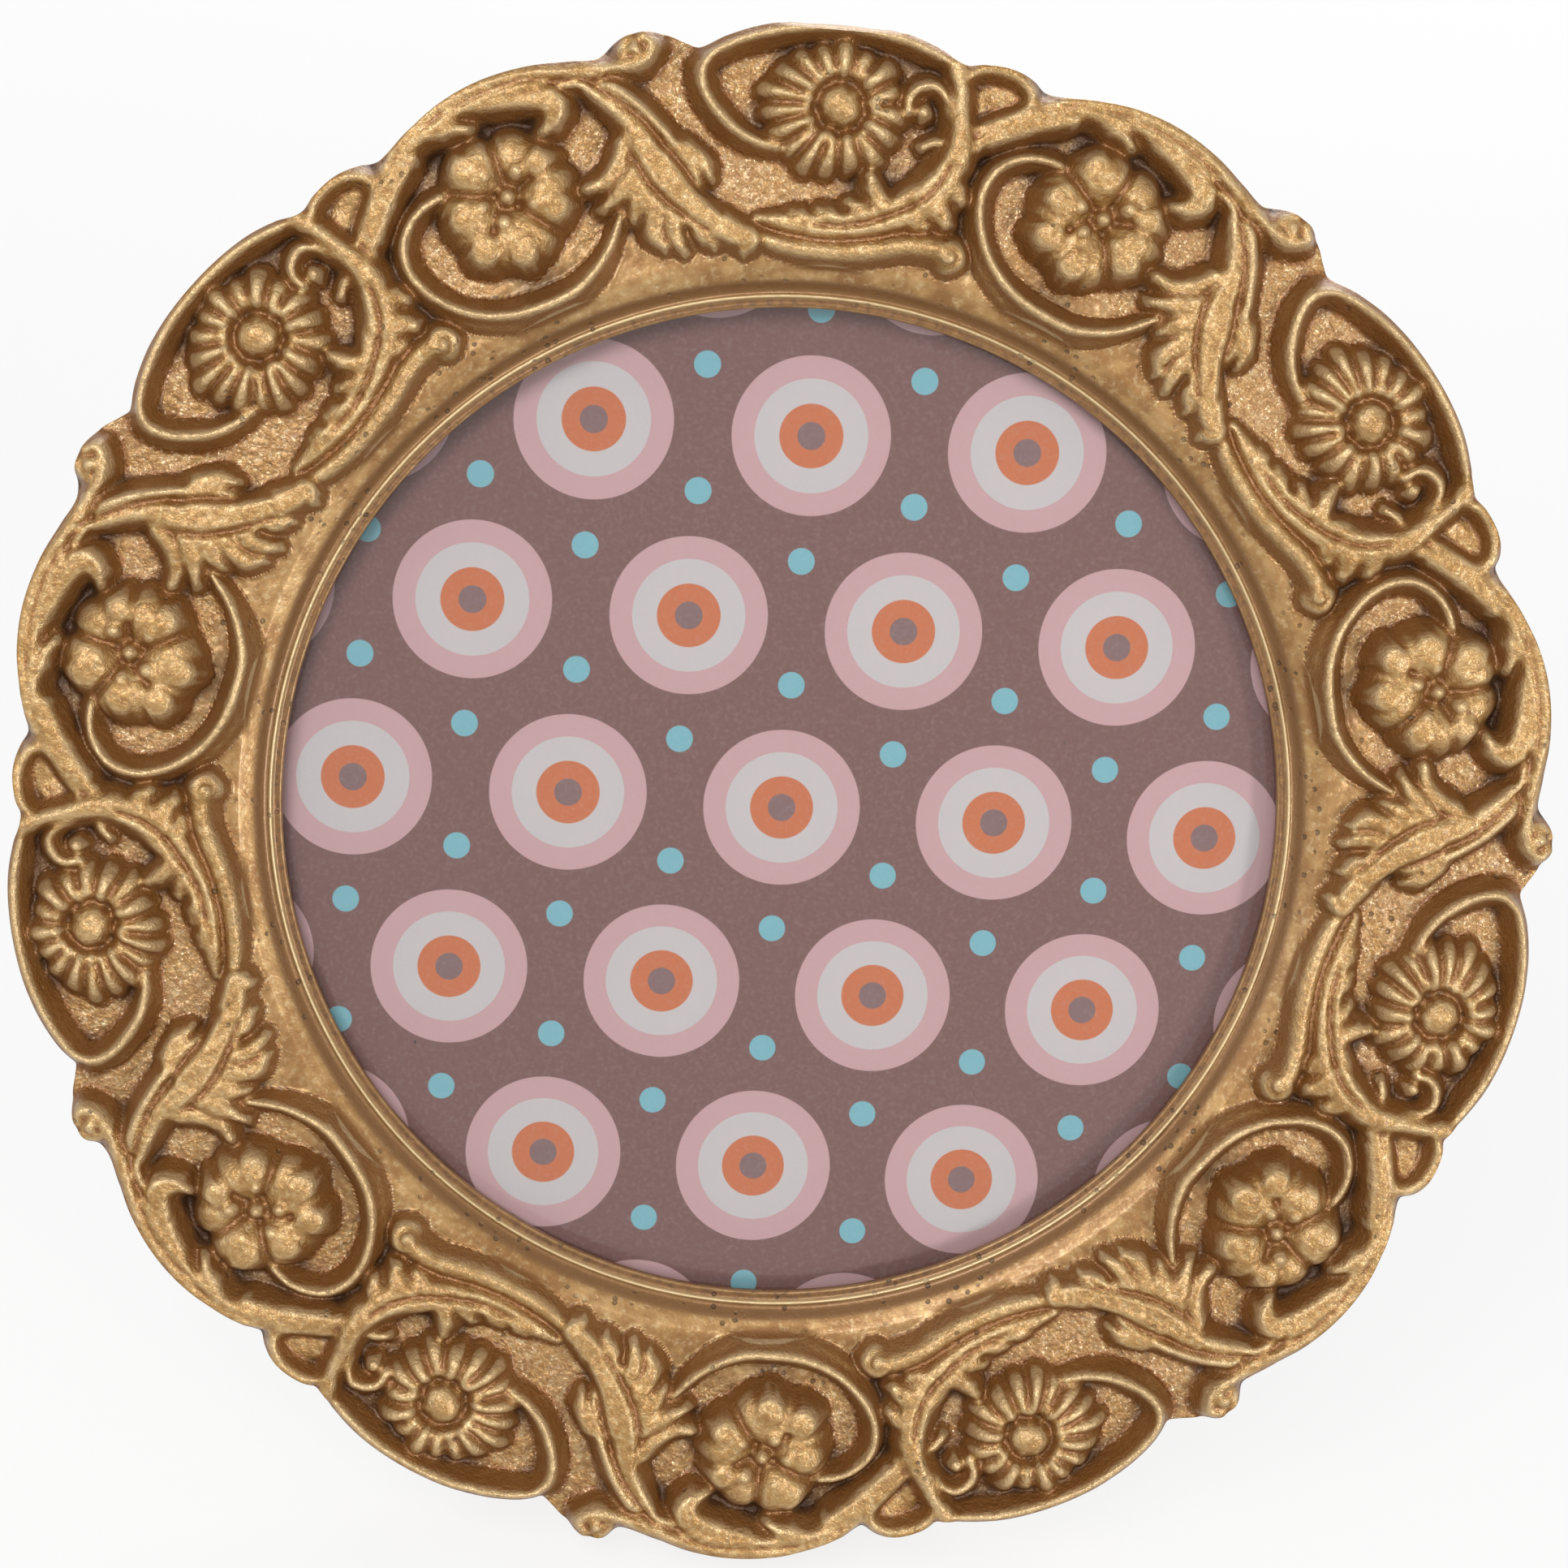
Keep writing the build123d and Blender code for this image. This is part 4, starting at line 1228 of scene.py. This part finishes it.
    def _assemble(self, deg: np.ndarray, edge: np.ndarray, radius: np.ndarray, front: np.ndarray,
                  traits: dict[Trait, np.ndarray]) -> bpy.types.Object:
        """Adds wall, back and recess, sets the repeats round the axis and closes the mesh.

        Args:
            deg: Angles of one repeat.
            edge: Radii of the front's edge.
            radius: Radii of the front.
            front: Heights of the front.
            traits: Numbers that the finish reads.

        Returns:
            The new object.
        """
        wall = self._wall(edge, front[:, -1])
        radius = np.hstack([radius] + [r[:, None] for r, _ in wall])
        height = np.hstack([front] + [z[:, None] for _, z in wall])
        extra = np.zeros((len(deg), len(wall)))
        stored = {kind: np.hstack([values, extra]) for kind, values in traits.items()}
        n = front.shape[1]
        stored[Trait.SIDE][:, n:] = 1.0
        bare = np.ones(len(wall) - len(self.overspray))
        stored[Trait.REAR][:, n:] = np.concatenate([self.overspray, bare])
        whole = np.concatenate([deg + k * self.step for k in range(self.repeats)])
        radius, height = np.tile(radius, (self.repeats, 1)), np.tile(height, (self.repeats, 1))
        a = np.radians(whole)[:, None]
        u, v = radius * np.sin(a), radius * np.cos(a)
        wave = self.waviness(u, v)
        first = len(self.lip)
        loose = np.interp(np.arange(radius.shape[1]), (first, first + self.uneven_rows, n - 2, n - 1),
                          (0, self.uneven, self.uneven, 0))
        points = self.stand.points(u, v, height + (wave - 1) * loose)
        points = np.clip(points, *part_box("frame_ring"))
        count, width = radius.shape
        i, j = np.meshgrid(np.arange(count), np.arange(width), indexing="ij")
        i1, j1 = (i + 1) % count, (j + 1) % width
        corners = [i * width + j, i * width + j1, i1 * width + j1, i1 * width + j]
        quads = np.stack(corners, axis=-1).reshape(-1, 4)
        mesh = bpy.data.meshes.new("frame_casting")
        mesh.from_pydata(points.tolist(), [], quads.tolist())
        mesh.shade_smooth()
        for kind, values in stored.items():
            store = mesh.attributes.new(kind.value, "FLOAT", "POINT")
            store.data.foreach_set("value", np.tile(values, (self.repeats, 1)).ravel().astype(np.float32))
        obj = bpy.data.objects.new("frame_casting", mesh)
        bpy.context.scene.collection.objects.link(obj)
        return obj


class Workshop:
    """Makes pieces from rings of points or from plain solids, dresses them and puts them in place."""

    PLATE_EASE = 0.14
    WELD_MM = 0.004
    FLAT_DEG = 1.0
    EASED_DEG = 35
    SHARP_DEG = 40

    def __init__(self, stand: Stand) -> None:
        """Keeps the leaning plane of the ring."""
        self.stand = stand

    @staticmethod
    def circle(radius: float, z: float, sides: int) -> Ring:
        """Ring of points round the Z axis."""
        turns = (2 * math.pi * k / sides for k in range(sides))
        return [(radius * math.sin(a), radius * math.cos(a), z) for a in turns]

    @staticmethod
    def loft(bm: bmesh.types.BMesh, rings: Sequence[Ring], place: Matrix, closed: bool = False) -> None:
        """Adds a skin through rings of equally many points.

        Args:
            bm: The mesh that grows.
            rings: Points in millimetres.
            place: Frame that the rings lie in.
            closed: Joins the last ring to the first, where the ends are otherwise capped.
        """
        loops = [[bm.verts.new(place @ (Vector(p) * MM)) for p in ring] for ring in rings]
        for first, second in zip(loops, loops[1:] + (loops[:1] if closed else [])):
            for k in range(len(first)):
                bm.faces.new((first[k - 1], first[k], second[k], second[k - 1]))
        if not closed:
            bm.faces.new(loops[-1])
            bm.faces.new(list(reversed(loops[0])))

    def from_bmesh(self, bm: bmesh.types.BMesh, name: str) -> bpy.types.Object:
        """New smooth object from a mesh, with creases kept sharp.

        Args:
            bm: The mesh, which is used up.
            name: Name of the piece.

        Returns:
            The new object.
        """
        mesh = bpy.data.meshes.new(name)
        bmesh.ops.recalc_face_normals(bm, faces=bm.faces)
        bm.to_mesh(mesh)
        bm.free()
        mesh.shade_smooth()
        mesh.set_sharp_from_angle(angle=math.radians(self.SHARP_DEG))
        obj = bpy.data.objects.new(name, mesh)
        bpy.context.scene.collection.objects.link(obj)
        return obj

    def eased(self, node: str, name: str, width_mm: float) -> bpy.types.Object:
        """Copy of a plain solid with its sharp edges rounded.

        Args:
            node: The solid.
            name: Name of the new piece.
            width_mm: Width of the rounding.

        Returns:
            The new object.
        """
        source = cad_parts[node]
        bm = bmesh.new()
        bm.from_mesh(source.data)
        bm.transform(source.matrix_world)
        bmesh.ops.remove_doubles(bm, verts=bm.verts, dist=self.WELD_MM * MM)
        bmesh.ops.dissolve_limit(bm, angle_limit=math.radians(self.FLAT_DEG), verts=bm.verts, edges=bm.edges)
        limit = math.radians(self.EASED_DEG)
        sharp = [e for e in bm.edges if e.is_manifold and e.calc_face_angle(0.0) > limit]
        bmesh.ops.bevel(bm, geom=sharp, offset=width_mm * MM, segments=2, profile=0.5, affect="EDGES",
                        clamp_overlap=True)
        bmesh.ops.triangulate(bm, faces=[f for f in bm.faces if len(f.verts) > 4])
        # the rounding leaves its faces in any order, so they are put in one
        corners = sorted(bm.verts, key=lambda v: tuple(v.co))
        bm.verts.sort(key={v: k for k, v in enumerate(corners)}.get)
        faces = sorted(bm.faces, key=lambda f: tuple(f.calc_center_median()))
        bm.faces.sort(key={f: k for k, f in enumerate(faces)}.get)
        return self.from_bmesh(bm, name)

    @staticmethod
    def fit(obj: bpy.types.Object, node: str, body: Body, slot: Slot, material: bpy.types.Material) -> None:
        """Dresses a piece, puts it in place of a solid and lets it ride.

        Args:
            obj: The new piece.
            node: The solid that it stands for.
            body: The body that it rides on.
            slot: The record's material slot; not used.
            material: The finish.
        """
        obj.data.materials.append(material)
        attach(obj, body.value)
        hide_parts(node)
        log.info("%s rides on %s in place of %s", obj.name, body.value, node)

    @staticmethod
    def dress(node: str, material: bpy.types.Material) -> None:
        """Puts a finish on a solid that stays as it is.

        Args:
            node: The solid.
            material: The finish.
        """
        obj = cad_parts[node]
        obj.data.materials.clear()
        obj.data.materials.append(material)
        log.info("%s dressed", node)


@dataclass
class Picture:
    """Glass, print, filler card and back board in the recess."""

    shop: Workshop
    radius: float = 51.9
    print_z: float = 4.7
    back_z: float = 5.0
    front_z: float = 6.98
    seam: float = 0.02
    ease: float = 0.25
    paper_ease: float = 0.05
    rim: float = 0.5
    sides: int = 160

    def build(self, board: bpy.types.Material) -> None:
        """Makes the pane, the print and the eased board, and dresses the card.

        Args:
            board: Finish of the board.
        """
        pane = self.disc("glass_disc", self.back_z + self.seam, self.front_z, self.ease)
        self.shop.fit(pane, "glass_pane", Body.FRAME, Slot.GLASS, GlassFinish().make())
        sheet = self.disc("print_sheet", self.print_z + self.seam, self.back_z, self.paper_ease)
        self.shop.fit(sheet, "insert_print", Body.FRAME, Slot.PAPER, PrintFinish().make(self.shop.stand))
        self.shop.dress("filler_card", CardFinish().make())
        back = self.shop.eased("back_board", "board_back", self.ease)
        self.shop.fit(back, "back_board", Body.FRAME, Slot.BOARD, board)

    def disc(self, name: str, low: float, high: float, ease: float) -> bpy.types.Object:
        """Round sheet with eased edges.

        Args:
            name: Name of the piece.
            low: Height of its back face.
            high: Height of its front face.
            ease: Width of the eased edges.

        Returns:
            The new object.
        """
        r = self.radius
        tiers = ((r - self.rim, low), (r - ease, low), (r, low + ease), (r, high - ease), (r - ease, high),
                 (r - self.rim, high))
        bm = bmesh.new()
        rings = [self.shop.circle(*tier, self.sides) for tier in tiers]
        self.shop.loft(bm, rings, self.shop.stand.matrix(0, 0, 0))
        return self.shop.from_bmesh(bm, name)


@dataclass
class TurnButtons:
    """Round-ended clips with a pressed panel, each on a cross-head screw."""

    shop: Workshop
    count: int = 4
    pivot_r: float = 58.6
    half: float = 4.0
    span: float = 6.4
    front_z: float = -0.05
    back_z: float = -1.05
    ease: float = 0.16
    panel: float = 1.5
    press: float = 0.22
    steps: int = 14
    shank_r: float = 1.1
    shank_z: float = 6.0
    seat_z: float = -1.1
    head_r: float = 2.6
    head_h: float = 1.5
    arm: float = 1.2
    arm_half: float = 0.27
    bite: float = 0.8
    taper: float = 0.8
    dome: Plan = ((1.0, 0.35), (0.95, 0.6), (0.82, 0.84), (0.62, 0.97), (0.52, 1.0))

    def build(self, steel: bpy.types.Material) -> None:
        """Makes the clips and the screws.

        Args:
            steel: Finish of both.
        """
        screws = bmesh.new()
        for k in range(self.count):
            deg = 360 / self.count * (k + 0.5)
            turn = Matrix.Rotation(-math.radians(deg), 4, "Z")
            place = self.shop.stand.matrix(*plan_point(deg, self.pivot_r), 0) @ turn
            clip = bmesh.new()
            self.shop.loft(clip, self.clip_rings(), place)
            piece = self.shop.from_bmesh(clip, f"turn_clip_{k + 1}")
            self.shop.fit(piece, f"turn_button_{k + 1}", Body[f"BUTTON_{k + 1}"], Slot.STEEL, steel)
            self.shop.loft(screws, self.screw_rings(), place @ Matrix.Rotation(0.5 + k, 4, "Z"))
        piece = self.shop.from_bmesh(screws, "clip_screws")
        self.shop.fit(piece, "turn_button_screws", Body.FRAME, Slot.STEEL, steel)

    def stadium(self, inset: float, z: float) -> Ring:
        """Outline of a clip.

        Args:
            inset: How far it is drawn in.
            z: Its height.

        Returns:
            The outline's points.
        """
        turns = [math.pi * (k / self.steps - 0.5) for k in range(self.steps + 1)]
        end = [((self.half - inset) * math.sin(t), (self.half - inset) * math.cos(t)) for t in turns]
        return [(x, y, z) for x, y in end] + [(-x, -self.span - y, z) for x, y in end]

    def clip_rings(self) -> list[Ring]:
        """Sections of a clip.

        Returns:
            Rings from its front to its pressed back.
        """
        e, low, high = self.ease, self.back_z, self.front_z
        tiers = ((e, high), (0, high - e), (0, low + e), (e, low), (self.panel, low),
                 (self.panel + self.press, low + self.press))
        return [self.stadium(*tier) for tier in tiers]

    def screw_rings(self) -> list[Ring]:
        """Sections of a screw.

        Returns:
            Rings from its end to the cross in its head.
        """
        w, m, n = self.arm_half, 0.5 * (self.arm + self.arm_half), self.arm
        arm = ((-w, w), (-w, m), (-w, n), (w, n), (w, m))
        cross = []
        for k in range(4):
            c, s = math.cos(k * math.pi / 2), math.sin(k * math.pi / 2)
            cross += [(x * c + y * s, y * c - x * s) for x, y in arm]
        r, h, z = self.head_r, self.head_h, self.seat_z
        tiers = [(self.shank_r, self.shank_z), (self.shank_r, z), (r, z)]
        tiers += [(wide * r, z - high * h) for wide, high in self.dome]
        rings = [self.shop.circle(radius, depth, len(cross)) for radius, depth in tiers]
        turned = [ring[-2:] + ring[:-2] for ring in rings]
        floor = [(self.taper * x, self.taper * y, z - h + self.bite) for x, y in cross]
        return turned + [[(x, y, z - h) for x, y in cross], floor]


@dataclass
class Rivets:
    """Domed rivets at plan points, with a flush tail."""

    shop: Workshop
    shank_r: float = 1.0
    head_r: float = 2.1
    head_h: float = 0.9
    sides: int = 28
    dome: Sequence[float] = (0.25, 0.55, 0.9, 1.25, 1.5)

    def build(self, name: str, places: Sequence[Matrix], head_z: float, tail_z: float) -> bpy.types.Object:
        """Makes one piece of several rivets.

        Args:
            name: Name of the piece.
            places: Frame of each rivet.
            head_z: Height of the head's seat.
            tail_z: Height of the tail.

        Returns:
            The new object.
        """
        r, h = self.head_r, self.head_h
        tiers = [(self.shank_r, tail_z), (self.shank_r, head_z), (r, head_z)]
        tiers += [(r * math.cos(t), head_z - h * math.sin(t)) for t in self.dome]
        bm = bmesh.new()
        for place in places:
            self.shop.loft(bm, [self.shop.circle(*tier, self.sides) for tier in tiers], place)
        return self.shop.from_bmesh(bm, name)


@dataclass
class Easel:
    """Leg board, hinge leaves, pin and rivets."""

    shop: Workshop
    rivets: Rivets
    hinge_y: float = 20.0
    axis_z: float = -1.8
    open_deg: float = 28.0
    rivet_x: float = 8.0
    rivet_y: float = 9.0
    leaf_t: float = 0.8
    leg_gap: float = 0.3
    leg_t: float = 2.5
    leg_ease: float = 0.35
    board_t: float = 3.0

    def build(self, steel: bpy.types.Material, board: bpy.types.Material) -> None:
        """Makes the leg and its hinge.

        Args:
            steel: Finish of the hinge.
            board: Finish of the leg.
        """
        shop = self.shop
        leg = shop.eased("strut_leg", "leg_board", self.leg_ease)
        shop.fit(leg, "strut_leg", Body.LEG, Slot.BOARD, board)
        for node, name, body in (("hinge_leaf_fixed", "leaf_on_board", Body.FRAME),
                                 ("hinge_leaf_strut", "leaf_on_leg", Body.LEG),
                                 ("hinge_pin", "pin_of_hinge", Body.FRAME)):
            shop.fit(shop.eased(node, name, shop.PLATE_EASE), node, body, Slot.STEEL, steel)
        sides = (-self.rivet_x, self.rivet_x)
        fixed = [shop.stand.matrix(x, self.hinge_y + self.rivet_y, 0) for x in sides]
        heads = self.rivets.build("rivets_on_board", fixed, -self.leaf_t, self.board_t)
        shop.fit(heads, "hinge_rivets", Body.FRAME, Slot.STEEL, steel)
        axis = Matrix.Translation((0, self.hinge_y * MM, self.axis_z * MM))
        opened = axis @ Matrix.Rotation(math.radians(self.open_deg), 4, "X") @ axis.inverted()
        spots = [Matrix.Translation((x * MM, (self.hinge_y - self.rivet_y) * MM, 0)) for x in sides]
        moved = [shop.stand.matrix(0, 0, 0) @ opened @ spot for spot in spots]
        seat = -self.leg_gap - self.leaf_t - self.leg_t
        heads = self.rivets.build("rivets_on_leg", moved, seat, -self.leg_gap)
        shop.fit(heads, "strut_rivets", Body.LEG, Slot.STEEL, steel)


@dataclass
class WallHanger:
    """Strap with a rolled loop, its rivet and the D ring of wire."""

    shop: Workshop
    rivets: Rivets
    loop_y: float = 46.0
    loop_z: float = -1.6
    rivet_y: float = 40.2
    leaf_t: float = 0.8
    board_t: float = 3.0
    wire_r: float = 0.7
    half_w: float = 5.2
    drop: float = 5.6
    bend_r: float = 1.3
    sides: int = 14

    def build(self, steel: bpy.types.Material) -> None:
        """Makes strap, rivet and ring.

        Args:
            steel: Finish of all three.
        """
        shop = self.shop
        strap = shop.eased("hanger_plate", "hanger_strap", shop.PLATE_EASE)
        shop.fit(strap, "hanger_plate", Body.FRAME, Slot.STEEL, steel)
        spot = shop.stand.matrix(0, self.rivet_y, 0)
        head = self.rivets.build("rivet_of_hanger", [spot], -self.leaf_t, self.board_t)
        shop.fit(head, "hanger_rivet", Body.FRAME, Slot.STEEL, steel)
        bm = bmesh.new()
        plumb = Matrix.Rotation(math.radians(shop.stand.lean_deg), 4, "X")
        place = shop.stand.matrix(0, self.loop_y, self.loop_z) @ plumb
        shop.loft(bm, self.wire_rings(), place, closed=True)
        shop.fit(shop.from_bmesh(bm, "hanger_wire"), "hanger_ring", Body.HANGER, Slot.STEEL, steel)

    def route(self) -> list[tuple[float, float]]:
        """Middle line of the wire: bar, two bends, sides and bow.

        Returns:
            The line's points, from the bar's right end round to its left end.
        """
        w, r, d = self.half_w, self.bend_r, self.drop
        turns = [math.radians(15 * k) for k in range(7)]
        right = [(w - r + r * math.sin(t), -r + r * math.cos(t)) for t in turns]
        bow = [(w * math.cos(t), -d - w * math.sin(t)) for t in (math.radians(9 * k) for k in range(21))]
        left = [(-x, y) for x, y in reversed(right)]
        return right + bow + left

    def wire_rings(self) -> list[Ring]:
        """Round sections along the wire.

        Returns:
            A ring at each point of the route.
        """
        spots = self.route()
        rings = []
        for k, (x, y) in enumerate(spots):
            (x0, y0), (x1, y1) = spots[k - 1], spots[(k + 1) % len(spots)]
            along = Vector((x1 - x0, y1 - y0)).normalized()
            turns = (2 * math.pi * i / self.sides for i in range(self.sides))
            rings.append([(x + along.y * self.wire_r * math.cos(t), y - along.x * self.wire_r * math.cos(t),
                           self.wire_r * math.sin(t)) for t in turns])
        return rings


@dataclass(frozen=True)
class Lamp:
    """A soft round lamp that looks at the piece."""

    name: str
    place: tuple[float, float, float]
    size: float
    power: float


@dataclass
class Studio:
    """Camera at the photograph's angle, soft light, pale floor and white surround."""

    stand: Stand
    lens_px: float = 3866.4
    pixels_per_mm: float = 965 / 75
    pitch_deg: float = 9.17
    yaw_deg: float = -2.39
    turn_deg: float = 4.16
    plane_z: float = 13.0
    middle_px: tuple[float, float] = (967.16, 1011.0)
    aim: tuple[float, float, float] = (0.0, 0.0, 0.07)
    lights: Sequence[Lamp] = (
        Lamp("key", (-0.20, -0.54, 0.58), 0.42, 3.2),
        Lamp("side_left", (-0.75, -0.45, 0.30), 0.5, 0.7),
        Lamp("side_right", (0.52, -0.62, 0.13), 0.22, 2.6),
        Lamp("behind", (0.15, 0.75, 0.6), 0.6, 3.0))
    ambient: float = 0.42
    paper: float = 0.8
    glow: float = 0.82
    floor_size: float = 6.0
    shadow_m: tuple[float, float] = (0.3, 0.9)
    sensor_mm: float = 36.0
    near_m: float = 0.01
    white: Colour = (1.0, 1.0, 1.0, 1.0)

    def build(self) -> None:
        """Makes camera, lamps, floor and world."""
        self.camera()
        self.lamps()
        self.surround()

    def axes(self) -> tuple[Vector, Vector]:
        """Right and up of the photograph in the ring's plane."""
        c, s = math.cos(math.radians(self.turn_deg)), math.sin(math.radians(self.turn_deg))
        return self.stand.right * c + self.stand.up * s, self.stand.up * c - self.stand.right * s

    def camera(self) -> None:
        """Sets the camera where the photograph was taken from."""
        across, upward = self.axes()
        front = self.stand.front
        p, y = math.radians(self.pitch_deg), math.radians(self.yaw_deg)
        right = (across * math.cos(y) - upward * (math.sin(p) * math.sin(y))
                 - front * (math.cos(p) * math.sin(y)))
        up = upward * math.cos(p) - front * math.sin(p)
        back = (across * math.sin(y) + upward * (math.sin(p) * math.cos(y))
                + front * (math.cos(p) * math.cos(y)))
        data = bpy.data.cameras.new("camera")
        data.sensor_width = self.sensor_mm
        data.lens = self.sensor_mm * self.lens_px / IMAGE_SIDE
        data.shift_x = (IMAGE_SIDE / 2 - self.middle_px[0]) / IMAGE_SIDE
        data.shift_y = (self.middle_px[1] - IMAGE_SIDE / 2) / IMAGE_SIDE
        data.clip_start = self.near_m
        obj = bpy.data.objects.new("camera", data)
        target = self.stand.centre_m + front * self.plane_z * MM
        spot = target + back * (self.lens_px / self.pixels_per_mm * MM)
        turn = Matrix((right, up, back)).transposed()
        obj.matrix_world = Matrix.Translation(spot) @ turn.to_4x4()
        bpy.context.scene.collection.objects.link(obj)
        bpy.context.scene.camera = obj

    def lamps(self) -> None:
        """Makes the lamps and turns them to the piece."""
        for lamp in self.lights:
            data = bpy.data.lights.new(lamp.name, "AREA")
            data.shape = "DISK"
            data.size = lamp.size
            data.energy = lamp.power
            obj = bpy.data.objects.new(lamp.name, data)
            obj.location = lamp.place
            obj.rotation_euler = (Vector(self.aim) - obj.location).to_track_quat("-Z", "Y").to_euler()
            bpy.context.scene.collection.objects.link(obj)

    def surround(self) -> None:
        """Makes the pale floor and the white world."""
        bpy.ops.mesh.primitive_plane_add(size=self.floor_size, location=(0, 0, 0))
        floor = bpy.context.object
        floor.name = "floor"
        s = NodeSheet.material("floor_paper")
        matt = s.node("ShaderNodeBsdfDiffuse", None, {"Color": (self.paper, self.paper, self.paper, 1.0)})
        glow = s.node("ShaderNodeEmission", None, {"Color": self.white, "Strength": 1.0})
        distance = s.node("ShaderNodeVectorMath", {"operation": "LENGTH"}, {0: s.place()}, "Value")
        share = self.seen(s) * (self.glow + distance.step(*self.shadow_m) * (1 - self.glow))
        paper = s.close(s.node("ShaderNodeMixShader", None, {0: share, 1: matt, 2: glow}))
        floor.data.materials.append(paper)
        w = NodeSheet(bpy.data.worlds.new("studio"))
        strength = self.ambient + self.seen(w) * (1 - self.ambient)
        sky = w.node("ShaderNodeBackground", None, {"Color": self.white, "Strength": strength})
        bpy.context.scene.world = w.close(sky)

    @staticmethod
    def seen(sheet: NodeSheet) -> Value:
        """Tells the rays that show the surround: straight, mirrored or through glass.

        Args:
            sheet: Node sheet that asks.

        Returns:
            1 for such rays and 0 for others.
        """
        straight, mirrored, through = (sheet.node("ShaderNodeLightPath", output=f"Is {kind} Ray")
                                       for kind in ("Camera", "Glossy", "Transmission"))
        return straight.at_least(mirrored).at_least(through)


def main() -> None:
    """Builds every piece in order."""
    logging.basicConfig(level=logging.INFO, format="%(message)s")
    bpy.context.scene.view_settings.view_transform = "Standard"
    stand = Stand()
    shop = Workshop(stand)
    rivets = Rivets(shop)
    steel = SteelFinish().make()
    board = BoardFinish().make()
    shop.fit(Casting(stand).build(), "frame_ring", Body.FRAME, Slot.GILT, GiltFinish().make())
    Picture(shop).build(board)
    TurnButtons(shop).build(steel)
    Easel(shop, rivets).build(steel, board)
    WallHanger(shop, rivets).build(steel)
    Studio(stand).build()


if __name__ == "__main__":
    main()
